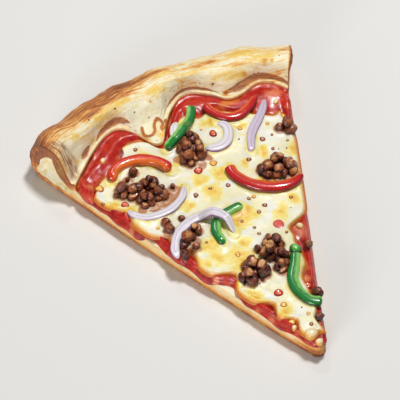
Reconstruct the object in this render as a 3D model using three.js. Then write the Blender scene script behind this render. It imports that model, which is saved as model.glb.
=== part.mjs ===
// One slice of a round pizza: an eighth of a 14 inch pie with a thin base and a rolled, puffed
// rim. Sauce and cheese run through the slice and show at both cuts. On top lie strips of red
// and green pepper, slices of onion and heaps of cooked ground beef.
//
// Millimetres, +Z up. The underside is z = 0 and +Y runs from the tip to the rim. Places on
// the slice are measured from the middle of the whole pizza, where its cuts would meet:
// x across the slice, y towards the rim, s along a cut. The group then moves the slice so that
// its origin is below the middle of its own length.

import * as THREE from 'three';

// ---- Driving dimensions ---------------------------------------------------------------

const PIZZA_RADIUS = 178;
const HALF_ANGLE = THREE.MathUtils.degToRad(22.5);   // eight slices to a pizza
const SIDE_BULGE = THREE.MathUtils.degToRad(0.7);    // the cuts bow out a little half way along
const TIP_RADIUS = 3.5;                              // round end of the tip
const TIP_LEAN = 1.1;                                // the tip turns a little to the right
const TIP_LEAN_REACH = 20;
const ORIGIN_FROM_CENTRE = 91;

const GAP = 0.3;                  // clearance between pieces that touch
const BASE_TOP = 8;
const SAUCE_THICKNESS = 1.6;
const SAUCE_RIDGE = 1.5;          // the sauce stands higher where the rim pushed it up
const CHEESE_THICKNESS = 2.2;
const CHEESE_EDGE = 1.1;          // thickness of the melted edge
const CHEESE_WAVE = 0.35;

const RIM_HEIGHT = 23;
const RIM_END_RISE = 3.6;         // the rim is highest at the left cut
const RIM_CREST_INSET = 14.5;     // from the outside of the rim to its crest
const RIM_FOOT = 6;               // the rim's underside lifts over this width
const RIM_BELLY = 10.5;           // height of the widest place
const RIM_WIDTH = 27;             // the roll's width, past which the lip lies flat
const LIP_TOP = 12;
const LIP_CLEARANCE = 1.9;        // from the sauce to the lip
const CHEESE_CLEARANCE = 1.6;     // from the cheese to where the sauce starts to rise
const NARROWEST_RIDGE = 2;        // width of the sauce's ridge where the cheese nearly meets the lip
const RIM_SLOPE = 1.3;            // above 1 the rim stays full and drops late

const RECESS_DEPTH = 3.6;         // the crumb sinks behind the skin at the ends of the rim
const RECESS_ROUNDING = 0.82;     // size of the recess's floor against its mouth

const PEPPER = { width: 5, height: 4 };
const GREEN_PEPPER = { width: 4.1, height: 3.4 };
const ONION = { width: 3.2, height: 2.6 };
const BEEF_HEIGHT = 6.6;
const LOBE_BLEND = 1.5;           // how far a lobe of a heap fills the hollow beside it

const DOUGH_STEPS = 28;           // steps across the slice
const SAUCE_STEPS = 20;
const CHEESE_STEPS = 18;
const STRIP_SIDES = 8;
const STRIP_STEP = 3;
const HEAP_SIDES = 16;

const SAUCE_BOTTOM = BASE_TOP + GAP;
const SAUCE_TOP = SAUCE_BOTTOM + SAUCE_THICKNESS;
const CHEESE_BOTTOM = SAUCE_TOP + GAP;
const CHEESE_TOP = CHEESE_BOTTOM + CHEESE_THICKNESS;
const TOPPING_FLOOR = CHEESE_TOP + CHEESE_WAVE + GAP;

// The inner edge of the rim waves in and out: [degrees from the middle, radius].
const LIP_WAVE = [[-24, 145], [-17, 152.5], [-10.5, 158], [-4.6, 138.5], [5, 160.5], [11.5, 150.5],
  [18, 157], [24, 149]];
// The cheese ends short of the rim in the same waves, and sauce shows between.
const CHEESE_WAVES_AT_RIM = [[-24, 134], [-17, 141], [-10, 148.5], [-4.6, 136.5], [3, 149.5],
  [6, 144.5], [12, 145], [18, 138.5], [24, 138]];
// Bays where a layer draws back from a cut: [distance s, depth, half width].
const CHEESE_BAYS_LEFT = [[22, 4.6, 5], [35, 5, 4.5], [58, 6.6, 5], [79, 4.2, 4], [94, 4.2, 5],
  [120, 2.6, 6], [143, 6, 6]];
const CHEESE_BAYS_RIGHT = [[18, 3.2, 5], [48, 4, 8], [67, 4.6, 6], [142, 5, 9]];
const SAUCE_BAYS_LEFT = [[56, 3.8, 5], [99, 2, 4], [150, 4.6, 6]];
const SAUCE_BAYS_RIGHT = [[88, 1, 12]];
const LAYER_EDGE = 0.4;           // how far a layer stays inside a cut where it has no bay

// The mouth of the recess at an end of the rim, round the crumb: [radius, height].
const RECESS_MOUTH = [[152, 6], [157, 4], [164, 4.6], [169, 8], [170.8, 13], [168.5, 17],
  [165, 19.4], [161.5, 19.2], [158.4, 16.4], [155, 11.5]];

// ---- Curves through chosen points -----------------------------------------------------

// A smooth curve through [x, y] pairs, as a function of x.
function curveThrough(pairs) {
  const slope = (i) => {
    const before = pairs[Math.max(i - 1, 0)];
    const after = pairs[Math.min(i + 1, pairs.length - 1)];
    return (after[1] - before[1]) / (after[0] - before[0]);
  };
  return (x) => {
    const inside = THREE.MathUtils.clamp(x, pairs[0][0], pairs[pairs.length - 1][0]);
    let i = 0;
    while (i < pairs.length - 2 && inside > pairs[i + 1][0]) i += 1;
    const [x0, y0] = pairs[i];
    const [x1, y1] = pairs[i + 1];
    const span = x1 - x0;
    const u = (inside - x0) / span;
    const bend0 = u * (1 - u) ** 2;
    const bend1 = u ** 2 * (u - 1);
    const ease = u * u * (3 - 2 * u);
    return y0 + (y1 - y0) * ease + span * (bend0 * slope(i) + bend1 * slope(i + 1));
  };
}

// The distance that a layer stays inside a cut, as a function of s.
function insetWith(bays) {
  return (s) => bays.reduce(
    (sum, [middle, depth, reach]) => sum + depth * Math.exp(-(((s - middle) / reach) ** 2)),
    LAYER_EDGE,
  );
}

const noInset = () => 0;
const FULL_WIDTH = { left: noInset, right: noInset };
const sauceInsets = { left: insetWith(SAUCE_BAYS_LEFT), right: insetWith(SAUCE_BAYS_RIGHT) };
const cheeseInsets = { left: insetWith(CHEESE_BAYS_LEFT), right: insetWith(CHEESE_BAYS_RIGHT) };

const degrees = (angle) => THREE.MathUtils.radToDeg(angle);
const lipRadius = curveThrough(LIP_WAVE);
const cheeseRadius = curveThrough(CHEESE_WAVES_AT_RIM);

// ---- The slice's plan -----------------------------------------------------------------

const TIP_CENTRE = TIP_RADIUS / Math.sin(HALF_ANGLE);
const TIP_START = TIP_CENTRE - TIP_RADIUS + 0.2;

// Half of the slice's angle at a distance from the pizza's middle, with the round tip.
function halfAngleAt(radius) {
  const straight = HALF_ANGLE + SIDE_BULGE * Math.sin(Math.PI * radius / PIZZA_RADIUS);
  if (radius >= TIP_CENTRE * Math.cos(HALF_ANGLE) ** 2) return straight;
  const cosine = (radius ** 2 + TIP_CENTRE ** 2 - TIP_RADIUS ** 2) / (2 * radius * TIP_CENTRE);
  return Math.min(straight, Math.acos(Math.min(cosine, 1)));
}

// The angle of a point that lies between the cuts, from across = -1 at the left cut to 1 at the
// right cut. insets keep a layer's edges inside the cuts.
function angleBetweenCuts(radius, across, insets) {
  const limit = halfAngleAt(radius);
  const left = -limit + Math.min(insets.left(radius) / radius, limit * 0.8);
  const right = limit - Math.min(insets.right(radius) / radius, limit * 0.8);
  return THREE.MathUtils.lerp(left, right, (across + 1) / 2);
}

function slicePoint(radius, across, z, insets = FULL_WIDTH) {
  const angle = angleBetweenCuts(radius, across, insets);
  const lean = TIP_LEAN * Math.exp(-((radius / TIP_LEAN_REACH) ** 2));
  return new THREE.Vector3(radius * Math.sin(angle) + lean, radius * Math.cos(angle), z);
}

// Where the line of points with one value of across meets an edge that curves round the pizza.
function radiusWhereMet(edgeRadius, across, insets = FULL_WIDTH) {
  let radius = edgeRadius(0);
  for (let round = 0; round < 6; round += 1) {
    radius = edgeRadius(degrees(angleBetweenCuts(radius, across, insets)));
  }
  return radius;
}

// ---- Closed solids --------------------------------------------------------------------

function meshGeometry(points, faces) {
  const geometry = new THREE.BufferGeometry();
  const values = points.flatMap((point) => point.toArray());
  geometry.setAttribute('position', new THREE.Float32BufferAttribute(values, 3));
  geometry.setIndex(faces.flat());
  geometry.computeVertexNormals();
  return geometry;
}

// Triangles that fill a flat outline, with holes, all turned the same way as the outline.
function fillOutline(outline, holes = []) {
  const faces = THREE.ShapeUtils.triangulateShape(outline, holes);
  const flat = [outline, ...holes].flat();
  const turn = Math.sign(THREE.ShapeUtils.area(outline));
  return faces.map(([a, b, c]) => {
    const area = THREE.ShapeUtils.area([flat[a], flat[b], flat[c]]);
    return Math.sign(area) === turn ? [a, b, c] : [a, c, b];
  });
}

// Joins equal rings of points into a tube. Looking from the first ring along the tube, the
// points of each ring go round clockwise.
function joinRings(firstIndices) {
  const faces = [];
  for (let k = 0; k + 1 < firstIndices.length; k += 1) {
    const near = firstIndices[k];
    const far = firstIndices[k + 1];
    near.forEach((a, i) => {
      const next = (i + 1) % near.length;
      faces.push([a, near[next], far[next]], [a, far[next], far[i]]);
    });
  }
  return faces;
}

const countFrom = (start, length) => Array.from({ length }, (_, i) => start + i);

// A solid through rings of 3D points, closed at both ends by filling the given flat outlines.
function ringSolid(rings, firstOutline, lastOutline) {
  const size = rings[0].length;
  const indices = rings.map((_, k) => countFrom(k * size, size));
  const last = indices[indices.length - 1];
  const faces = joinRings(indices);
  fillOutline(firstOutline).forEach(([a, b, c]) => faces.push([a, c, b]));
  fillOutline(lastOutline).forEach(([a, b, c]) => faces.push([last[a], last[b], last[c]]));
  return meshGeometry(rings.flat(), faces);
}

const toVectors = (pairs) => pairs.map(([x, y]) => new THREE.Vector2(x, y));

// Even steps across the slice, and one more close to each cut, where the layers round off.
function stepsAcross(count) {
  const even = countFrom(0, count + 1).map((i) => -1 + (2 * i) / count);
  return [-1, -0.975, ...even.slice(1, -1), 0.975, 1];
}

// A solid that runs across the slice. sectionAt gives its section as [radius, height] pairs.
function crossSliceSolid(sectionAt, insets, count) {
  const steps = stepsAcross(count);
  const sections = steps.map((across) => sectionAt(across));
  const rings = sections.map((section, k) => section.map(
    ([radius, z]) => slicePoint(radius, steps[k], z, insets),
  ));
  return ringSolid(rings, toVectors(sections[0]), toVectors(sections[sections.length - 1]));
}

// ---- Dough: the base and its rolled rim -----------------------------------------------

function rimShape(across) {
  const angle = degrees(across * HALF_ANGLE);
  const outside = PIZZA_RADIUS - 2.2 * Math.abs(across) ** 3 + 0.5 * Math.sin(angle * 0.9);
  const endRise = RIM_END_RISE * Math.exp(-(((angle + 23) / 5) ** 2));
  const height = RIM_HEIGHT + endRise + 0.6 * Math.sin(angle * 0.55);
  const lip = radiusWhereMet(lipRadius, across);
  const foot = Math.max(lip + 0.8, outside - RIM_WIDTH);
  return { outside, height, crest: outside - RIM_CREST_INSET, foot, lip };
}

// The section goes along the underside, up round the rim, down to its lip and back to the tip.
function doughSection(across) {
  const rim = rimShape(across);
  const inner = rim.lip - 1.5;
  const along = [0, 0.012, 0.03, 0.07, 0.2, 0.4, 0.6, 0.8, 1];
  const baseRadii = along.map((part) => THREE.MathUtils.lerp(TIP_START, inner, part));
  const underside = [...baseRadii, rim.outside - RIM_FOOT].map((radius) => [radius, 0]);
  const quarter = (part) => (part * Math.PI) / 2;
  const lowerRim = [0.3, 0.6, 1].map((part) => [
    rim.outside - RIM_FOOT + RIM_FOOT * Math.sin(quarter(part)),
    RIM_BELLY - RIM_BELLY * Math.cos(quarter(part)),
  ]);
  const upperRim = [0.2, 0.4, 0.6, 0.8, 1].map((part) => [
    rim.crest + RIM_CREST_INSET * Math.cos(quarter(part)),
    RIM_BELLY + (rim.height - RIM_BELLY) * Math.sin(quarter(part)),
  ]);
  const innerSlope = [0.2, 0.4, 0.6, 0.8, 1].map((part) => [
    THREE.MathUtils.lerp(rim.crest, rim.foot, part),
    LIP_TOP + (rim.height - LIP_TOP) * (1 + Math.cos(Math.PI * part ** RIM_SLOPE)) / 2,
  ]);
  const lip = [[rim.lip, LIP_TOP - 0.3], [rim.lip - 0.4, BASE_TOP]];
  const baseTop = [...baseRadii].reverse().map((radius) => [radius, BASE_TOP]);
  return [...underside, ...lowerRim, ...upperRim, ...innerSlope, ...lip, ...baseTop];
}

// An end of the dough with the recess: the flat cut round the mouth, a wall and a sunk floor.
function recessedEnd(across, points, sectionStart, section) {
  const mouth = toVectors(RECESS_MOUTH);
  const middle = mouth.reduce((sum, point) => sum.add(point), new THREE.Vector2());
  middle.divideScalar(mouth.length);
  const levels = [[1, 0], [0.95, 0.55], [RECESS_ROUNDING, 1]];
  const rings = levels.map(([size, depth]) => {
    const start = points.length;
    mouth.forEach((point) => {
      const at = middle.clone().lerp(point, size);
      const sunk = () => depth * RECESS_DEPTH;
      points.push(slicePoint(at.x, across, at.y, { left: sunk, right: sunk }));
    });
    return countFrom(start, mouth.length);
  });
  const section2d = toVectors(section);
  const indices = [...countFrom(sectionStart, section.length), ...rings[0]];
  const face = fillOutline(section2d, [mouth]).map((abc) => abc.map((i) => indices[i]));
  const floor = fillOutline(mouth).map((abc) => abc.map((i) => rings[2][i]));
  const faces = [...face, ...joinRings(rings), ...floor];
  return across > 0 ? faces : faces.map(([a, b, c]) => [a, c, b]);
}

function doughGeometry() {
  const steps = stepsAcross(DOUGH_STEPS);
  const sections = steps.map(doughSection);
  const size = sections[0].length;
  const points = sections.flatMap((section, k) => section.map(
    ([radius, z]) => slicePoint(radius, steps[k], z),
  ));
  const indices = sections.map((_, k) => countFrom(k * size, size));
  const sides = joinRings(indices);
  const lastStart = indices[indices.length - 1][0];
  const leftEnd = recessedEnd(-1, points, 0, sections[0]);
  const rightEnd = recessedEnd(1, points, lastStart, sections[sections.length - 1]);
  return meshGeometry(points, [...sides, ...leftEnd, ...rightEnd]);
}

// ---- Sauce and cheese -----------------------------------------------------------------

// Even parts of a layer's length, and two more in its round tip.
function partsFromTip(count) {
  return [0, 0.012, 0.03, ...countFrom(1, count).map((i) => i / count)];
}

const nearCut = (across) => THREE.MathUtils.smoothstep(Math.abs(across), 0.94, 1);

function sauceSection(across) {
  const start = TIP_START + LAYER_EDGE;
  const end = radiusWhereMet(lipRadius, across, sauceInsets) - LIP_CLEARANCE;
  const cheeseEnd = radiusWhereMet(cheeseRadius, across, sauceInsets);
  const covered = Math.min(cheeseEnd + CHEESE_CLEARANCE, end - NARROWEST_RIDGE);
  const radii = partsFromTip(16).map((part) => THREE.MathUtils.lerp(start, covered, part));
  const edge = 0.5 * nearCut(across);
  const bared = THREE.MathUtils.clamp((end - cheeseEnd) / 8, 0, 1);
  const ridge = [0.3, 0.6, 0.85, 1].map((part) => [
    THREE.MathUtils.lerp(covered, end, part),
    SAUCE_TOP - edge + bared * SAUCE_RIDGE * Math.sin(Math.PI * part * 0.8),
  ]);
  const bottom = [...radii, end].map((radius) => [radius, SAUCE_BOTTOM]);
  const top = radii.map((radius) => [radius, SAUCE_TOP - edge]).reverse();
  return [...bottom, ...ridge.reverse(), ...top];
}

function cheeseSection(across) {
  const start = TIP_START + 1.2;
  const end = radiusWhereMet(cheeseRadius, across, cheeseInsets);
  const parts = [...partsFromTip(22).slice(0, -1), 0.98, 1];
  const radii = parts.map((part) => THREE.MathUtils.lerp(start, end, part));
  const height = (radius, part) => {
    const wave = CHEESE_WAVE * Math.sin(radius / 7) * Math.sin(across * 7);
    const round = Math.max(nearCut(across), part === 0 || part === 1 ? 1 : 0);
    return THREE.MathUtils.lerp(CHEESE_TOP + wave, CHEESE_BOTTOM + CHEESE_EDGE, round);
  };
  const bottom = radii.map((radius) => [radius, CHEESE_BOTTOM]);
  const top = radii.map((radius, i) => [radius, height(radius, parts[i])]).reverse();
  return [...bottom, ...top];
}

// ---- Strips of pepper and onion -------------------------------------------------------

// A strip lies along a path of [x, y] points. round gives the length of its two rounded ends,
// and over lists places where it climbs over another piece: [x, y, rise].
function stripGeometry({ path, width, height, round = [width / 2, width / 2], over = [] }) {
  const curve = new THREE.CatmullRomCurve3(path.map(([x, y]) => new THREE.Vector3(x, y, 0)));
  const length = curve.getLength();
  const steps = Math.max(6, Math.round(length / STRIP_STEP));
  const inner = countFrom(1, steps - 1).map((i) => i / steps);
  const stations = [0, 0.25 / steps, ...inner, 1 - 0.25 / steps, 1];
  const rings = stations.map((part) => {
    const at = curve.getPointAt(part);
    const along = curve.getTangentAt(part);
    const ends = [part * length / round[0], (1 - part) * length / round[1]];
    const short = Math.min(1, ...ends) * 0.93 + 0.07;
    const size = Math.sqrt(1 - (1 - short) ** 2);
    const rise = over.reduce((most, [x, y, lift]) => {
      const away = Math.hypot(at.x - x, at.y - y);
      return Math.max(most, lift * (1 - THREE.MathUtils.smoothstep(away, 3, 11)));
    }, 0);
    return countFrom(0, STRIP_SIDES).map((side) => {
      const turn = (2 * Math.PI * side) / STRIP_SIDES;
      const out = (width / 2) * size * Math.cos(turn);
      const up = (height / 2) * size * Math.sin(turn);
      return new THREE.Vector3(
        at.x - along.y * out,
        at.y + along.x * out,
        TOPPING_FLOOR + height / 2 + rise + up,
      );
    });
  });
  const outline = countFrom(0, STRIP_SIDES).map((side) => {
    const turn = (2 * Math.PI * side) / STRIP_SIDES;
    return new THREE.Vector2(Math.cos(turn), Math.sin(turn));
  });
  return ringSolid(rings, outline, outline);
}

// ---- Heaps of ground beef -------------------------------------------------------------

// A heap is the lumpy outside of round lobes, each [x, y, radius], seen from their middle.
function heapGeometry(lobes) {
  const weight = lobes.reduce((sum, lobe) => sum + lobe[2], 0);
  const middleX = lobes.reduce((sum, lobe) => sum + lobe[0] * lobe[2], 0) / weight;
  const middleY = lobes.reduce((sum, lobe) => sum + lobe[1] * lobe[2], 0) / weight;
  const reach = (turn) => lobes.reduce((most, [x, y, radius]) => {
    const forward = (x - middleX) * Math.cos(turn) + (y - middleY) * Math.sin(turn);
    const aside = (y - middleY) * Math.cos(turn) - (x - middleX) * Math.sin(turn);
    const off = Math.min(Math.abs(aside) / (radius * LOBE_BLEND), 1);
    return Math.max(most, forward * (1 - off ** 4) + radius * Math.sqrt(1 - off ** 2));
  }, 0);
  const levels = [[0.86, 0], [1, 0.3], [0.92, 0.62], [0.66, 0.9], [0.32, 1], [0.06, 0.96]];
  const rings = levels.map(([size, height], k) => countFrom(0, HEAP_SIDES).map((side) => {
    const turn = (2 * Math.PI * side) / HEAP_SIDES;
    const lump = 1 + 0.05 * Math.sin(5 * turn + 2 * k);
    const out = reach(turn) * size * lump;
    const up = BEEF_HEIGHT * height * (1 + 0.04 * Math.sin(3 * turn + k));
    return new THREE.Vector3(
      middleX + out * Math.cos(turn),
      middleY + out * Math.sin(turn),
      TOPPING_FLOOR + Math.max(up, 0),
    );
  }));
  const flat = (ring) => ring.map((point) => new THREE.Vector2(point.x, point.y));
  return ringSolid(rings, flat(rings[0]), flat(rings[rings.length - 1]));
}

// ---- Materials ------------------------------------------------------------------------

const finish = (color, roughness) => new THREE.MeshStandardMaterial({ color, roughness, metalness: 0 });

const CRUST = () => finish('#e3b877', 0.75);
const SAUCE = () => finish('#c8281c', 0.3);
const CHEESE = () => finish('#f3e3a0', 0.4);
const RED = () => finish('#d8331f', 0.25);
const GREEN = () => finish('#2f9a45', 0.28);
const ONION_WHITE = () => finish('#e3dbe3', 0.35);
const BEEF = () => finish('#6b3a26', 0.5);

// ---- Where the toppings lie -----------------------------------------------------------

const RED_PEPPERS = [
  { path: [[-41, 129], [-37, 133.4], [-31, 134.9], [-24, 133.4], [-17.5, 128.8], [-13.6, 122]] },
  {
    path: [[18.8, 149.4], [18.9, 144.4], [23.4, 137.4], [30, 135.4], [37, 138.2], [43, 142.4]],
    width: 4.2,
    height: 3.6,
    round: [2.2, 9],
  },
  {
    path: [[10.6, 110.6], [10.6, 104.6], [14.4, 97], [21, 91.2], [28, 88.4], [34, 88.6], [38.6, 90.6]],
    round: [6, 12],
  },
];

const GREEN_PEPPERS = [
  {
    path: [[12.1, 150.6], [8.6, 145.2], [2.6, 139.6], [-4, 135.6], [-10, 133.8]],
    over: [[-1.2, 137.2, 2.9]],
  },
  { path: [[5.6, 88.4], [-1, 87.9], [-7.9, 86], [-12, 81], [-12.4, 72.6]] },
  { path: [[13.6, 52.8], [9.4, 46.4], [5.4, 40.4], [4.4, 33.6], [6.8, 26.6], [11, 23.6]] },
];

const ONIONS = [
  { path: [[18.4, 136.2], [20.7, 132], [18.6, 125.6], [12.6, 122.4], [8.6, 123.8]] },
  { path: [[45.6, 138.6], [40.4, 132.8], [33.6, 127.2], [28.2, 121.2], [24.6, 114]] },
  { path: [[-12.3, 110.5], [-17, 105], [-26, 101.4], [-34.6, 102], [-40.4, 105.8], [-42.4, 110.2]] },
  {
    path: [[-34.6, 75.4], [-33.2, 80.8], [-27.2, 87.8], [-18, 91.4], [-9.6, 89], [-5.4, 82.6], [-5, 76]],
    over: [[-6.6, 86.2, 4.4]],
  },
  { path: [[-1.8, 134.4], [-2.6, 139], [-0.6, 143.4], [2.4, 145.8]] },
];

const BEEF_HEAPS = [
  [[1.8, 129.4, 4.6], [-3.6, 123, 3.9], [3.2, 122.6, 2.6]],
  [[-39.6, 120.4, 3.8], [-33, 115.6, 4.8], [-26.4, 116, 4.8], [-24.6, 110, 3.4], [-33, 109, 3]],
  [[26.4, 99.8, 5.4], [32, 100.6, 3.4], [34.2, 95.6, 3.2]],
  [[43.6, 119.4, 2.3], [48, 120.6, 2.2], [46.8, 116.6, 2.3]],
  [[7, 62.6, 4.7], [3, 58.4, 3.8], [5.2, 53, 3.6], [3.6, 48, 2.9]],
  [[-8, 53.4, 4.8], [-4.4, 50.2, 2.6], [-12.6, 50.4, 2.6]],
  [[-20, 84.2, 2.4], [-24.2, 84, 2.5], [-27.4, 80.8, 2.3]],
];

// ---- The slice ------------------------------------------------------------------------

const slice = new THREE.Group();

function addPiece(name, geometry, material) {
  const mesh = new THREE.Mesh(geometry, material);
  mesh.name = name;
  mesh.position.y = -ORIGIN_FROM_CENTRE;
  slice.add(mesh);
}

addPiece('dough', doughGeometry(), CRUST());
addPiece('sauce', crossSliceSolid(sauceSection, sauceInsets, SAUCE_STEPS), SAUCE());
addPiece('cheese', crossSliceSolid(cheeseSection, cheeseInsets, CHEESE_STEPS), CHEESE());

RED_PEPPERS.forEach((strip, i) => {
  addPiece(`red_pepper_${i + 1}`, stripGeometry({ ...PEPPER, ...strip }), RED());
});
GREEN_PEPPERS.forEach((strip, i) => {
  addPiece(`green_pepper_${i + 1}`, stripGeometry({ ...GREEN_PEPPER, ...strip }), GREEN());
});
ONIONS.forEach((strip, i) => {
  addPiece(`onion_${i + 1}`, stripGeometry({ ...ONION, ...strip }), ONION_WHITE());
});
BEEF_HEAPS.forEach((lobes, i) => {
  addPiece(`beef_${i + 1}`, heapGeometry(lobes), BEEF());
});

export default slice;
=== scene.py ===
# %% [markdown]
# # A slice of pizza with ground beef, peppers and onion
#
# The real thing is an eighth of a 14 inch pizza: a thin baked base with a rolled, puffed rim,
# tomato sauce that squeezes out at the cuts, melted cheese with browned blisters, and toppings
# that sank a little into the cheese. The packed model gives every piece its place and size.
# This script swaps each of its plain solids for a fine mesh in the same place, then lights it.
#
# We could sculpt such food by hand, but every bump here comes from a formula with a seed, so
# the same slice comes out each time and a size can be changed in one line.

# %% Load the packed model
import math

import bmesh
import bpy
import numpy as np
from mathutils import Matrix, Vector
from mathutils.bvhtree import BVHTree


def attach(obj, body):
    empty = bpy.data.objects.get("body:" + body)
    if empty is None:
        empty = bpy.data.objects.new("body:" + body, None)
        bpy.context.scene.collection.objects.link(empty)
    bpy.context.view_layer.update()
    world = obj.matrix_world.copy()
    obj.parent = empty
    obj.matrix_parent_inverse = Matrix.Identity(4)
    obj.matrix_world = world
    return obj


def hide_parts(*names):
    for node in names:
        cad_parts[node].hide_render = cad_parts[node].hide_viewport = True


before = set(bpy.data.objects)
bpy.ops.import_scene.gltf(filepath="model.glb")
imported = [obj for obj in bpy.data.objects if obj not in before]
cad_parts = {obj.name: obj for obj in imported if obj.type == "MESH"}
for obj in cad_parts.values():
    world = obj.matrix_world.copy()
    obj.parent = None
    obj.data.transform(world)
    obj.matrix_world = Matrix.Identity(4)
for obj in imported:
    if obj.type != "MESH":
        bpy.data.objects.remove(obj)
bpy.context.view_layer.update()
print("nodes:", ", ".join(sorted(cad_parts)))

# %% [markdown]
# ## The camera
#
# The slice was drawn from above, turned so that its left cut faces us. A long lens far away
# gives that calm, nearly parallel look. We work out the camera's place from two angles and a
# distance, as a photographer would note them down.

# %% The camera
VIEW_AZIMUTH = math.radians(-28.13)
VIEW_ELEVATION = math.radians(52.14)
VIEW_DISTANCE = 1.2
VIEW_AIM = Vector((-0.00524, 0.01807, 0))
LENS = 231.7
SENSOR_WIDTH = 36

back = Vector((
    math.sin(VIEW_AZIMUTH) * math.cos(VIEW_ELEVATION),
    -math.cos(VIEW_AZIMUTH) * math.cos(VIEW_ELEVATION),
    math.sin(VIEW_ELEVATION),
))
camera = bpy.data.objects.new("camera", bpy.data.cameras.new("camera"))
camera.data.lens = LENS
camera.data.sensor_width = SENSOR_WIDTH
camera.location = VIEW_AIM + back * VIEW_DISTANCE
camera.rotation_euler = (-back).to_track_quat("-Z", "Y").to_euler()
bpy.context.collection.objects.link(camera)
bpy.context.scene.camera = camera
print("camera at", [round(value, 3) for value in camera.location])

# %% [markdown]
# ## Floor and light
#
# A pale floor and a soft lamp high on the right give the short shadow along the left cut. A
# low lamp from the front left lights the cut but hardly the floor, so that the shadow stays
# dark, and a small one from behind draws highlights on wet sauce and pepper skin.

# %% Floor and light
FLOOR_COLOUR = (0.80, 0.79, 0.765)
FLOOR_SIZE = 3.0
FLOOR_ROUGHNESS = 0.9
SKY_COLOUR = (1, 0.985, 0.955)
SKY_STRENGTH = 0.16


def plain_material(name, colour, roughness):
    material = bpy.data.materials.new(name)
    material.use_nodes = True
    shader = material.node_tree.nodes["Principled BSDF"]
    shader.inputs["Base Color"].default_value = (*colour, 1)
    shader.inputs["Roughness"].default_value = roughness
    return material


def add_floor():
    mesh = bpy.data.meshes.new("floor")
    half = FLOOR_SIZE / 2
    corners = [(-half, -half, 0), (half, -half, 0), (half, half, 0), (-half, half, 0)]
    mesh.from_pydata(corners, [], [(0, 1, 2, 3)])
    floor = bpy.data.objects.new("floor", mesh)
    mesh.materials.append(plain_material("pale_floor", FLOOR_COLOUR, FLOOR_ROUGHNESS))
    bpy.context.collection.objects.link(floor)


def add_lamp(name, azimuth, elevation, distance, size, power):
    a, e = math.radians(azimuth), math.radians(elevation)
    away = Vector((math.sin(a) * math.cos(e), math.cos(a) * math.cos(e), math.sin(e)))
    data = bpy.data.lights.new(name, "AREA")
    data.size = size
    data.energy = power
    lamp = bpy.data.objects.new(name, data)
    lamp.location = away * distance
    lamp.rotation_euler = (-away).to_track_quat("-Z", "Y").to_euler()
    bpy.context.collection.objects.link(lamp)


add_floor()
add_lamp("key", azimuth=60, elevation=74, distance=1.1, size=0.15, power=8.3)
add_lamp("fill", azimuth=236, elevation=14, distance=1.3, size=0.5, power=8.5)
add_lamp("sparkle", azimuth=14, elevation=52, distance=1.2, size=0.16, power=1.1)
world = bpy.data.worlds.new("studio")
world.use_nodes = True
sky = world.node_tree.nodes["Background"]
sky.inputs["Color"].default_value = (*SKY_COLOUR, 1)
sky.inputs["Strength"].default_value = SKY_STRENGTH
bpy.context.scene.world = world
bpy.context.scene.view_settings.view_transform = "Standard"
lamps = [lamp.name for lamp in bpy.context.scene.objects if lamp.type == "LIGHT"]
print("lamps:", ", ".join(lamps))

# %% [markdown]
# ## The plan of the slice
#
# A pizza is round, so its own coordinates are the distance from the middle of the whole pie
# and the angle across the slice. All pieces share the same few curves: the cuts, the waving
# lip of the rim, the edge of the cheese and the bays where a layer draws back from a cut. We
# write them once, in millimetres measured from the pizza's middle.

# %% Sizes shared by all pieces
MM = 0.001
ORIGIN_FROM_CENTRE = 91
PIZZA_RADIUS = 178
HALF_ANGLE = math.radians(22.5)
SIDE_BULGE = math.radians(0.7)
TIP_RADIUS = 3.5
TIP_CENTRE = TIP_RADIUS / math.sin(HALF_ANGLE)
TIP_START = TIP_CENTRE - TIP_RADIUS + 0.2
TIP_LEAN = 1.1
TIP_LEAN_REACH = 20
BASE_TOP = 8.0
SAUCE_TOP = 9.9
CHEESE_TOP = 12.4
# The columns of points in dough and sauce fan out as they should at this radius.
COLUMNS_AT = 150.0
print("the whole pizza measures", 2 * PIZZA_RADIUS, "mm, about", round(2 * PIZZA_RADIUS / 25.4), "inches")


# %% Curves from a few places
def curve_through(pairs):
    """A smooth curve through (x, y) pairs, as a function of x."""
    xs, ys = np.array(pairs, float).T
    before = np.maximum(np.arange(len(xs)) - 1, 0)
    after = np.minimum(np.arange(len(xs)) + 1, len(xs) - 1)
    slopes = (ys[after] - ys[before]) / (xs[after] - xs[before])

    def curve(x):
        inside = np.clip(x, xs[0], xs[-1])
        i = np.clip(np.searchsorted(xs, inside, side="right") - 1, 0, len(xs) - 2)
        span = xs[i + 1] - xs[i]
        u = (inside - xs[i]) / span
        bend = span * (u * (1 - u) ** 2 * slopes[i] + u * u * (u - 1) * slopes[i + 1])
        return ys[i] + (ys[i + 1] - ys[i]) * u * u * (3 - 2 * u) + bend

    return curve


def bumps(places):
    """A function of x that adds up round bumps, each (middle, height, half width)."""
    def total(x):
        return sum(height * np.exp(-(((x - at) / reach) ** 2)) for at, height, reach in places)
    return total


def smoothstep(x, low, high):
    """Rises smoothly from 0 at low to 1 at high. It falls when low is the larger one."""
    u = np.clip((x - low) / (high - low), 0, 1)
    return u * u * (3 - 2 * u)


def mix(first, second, amount):
    return first + (second - first) * amount


print("smoothstep at a quarter, half and three quarters:", smoothstep(np.array([0.25, 0.5, 0.75]), 0, 1))

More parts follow.
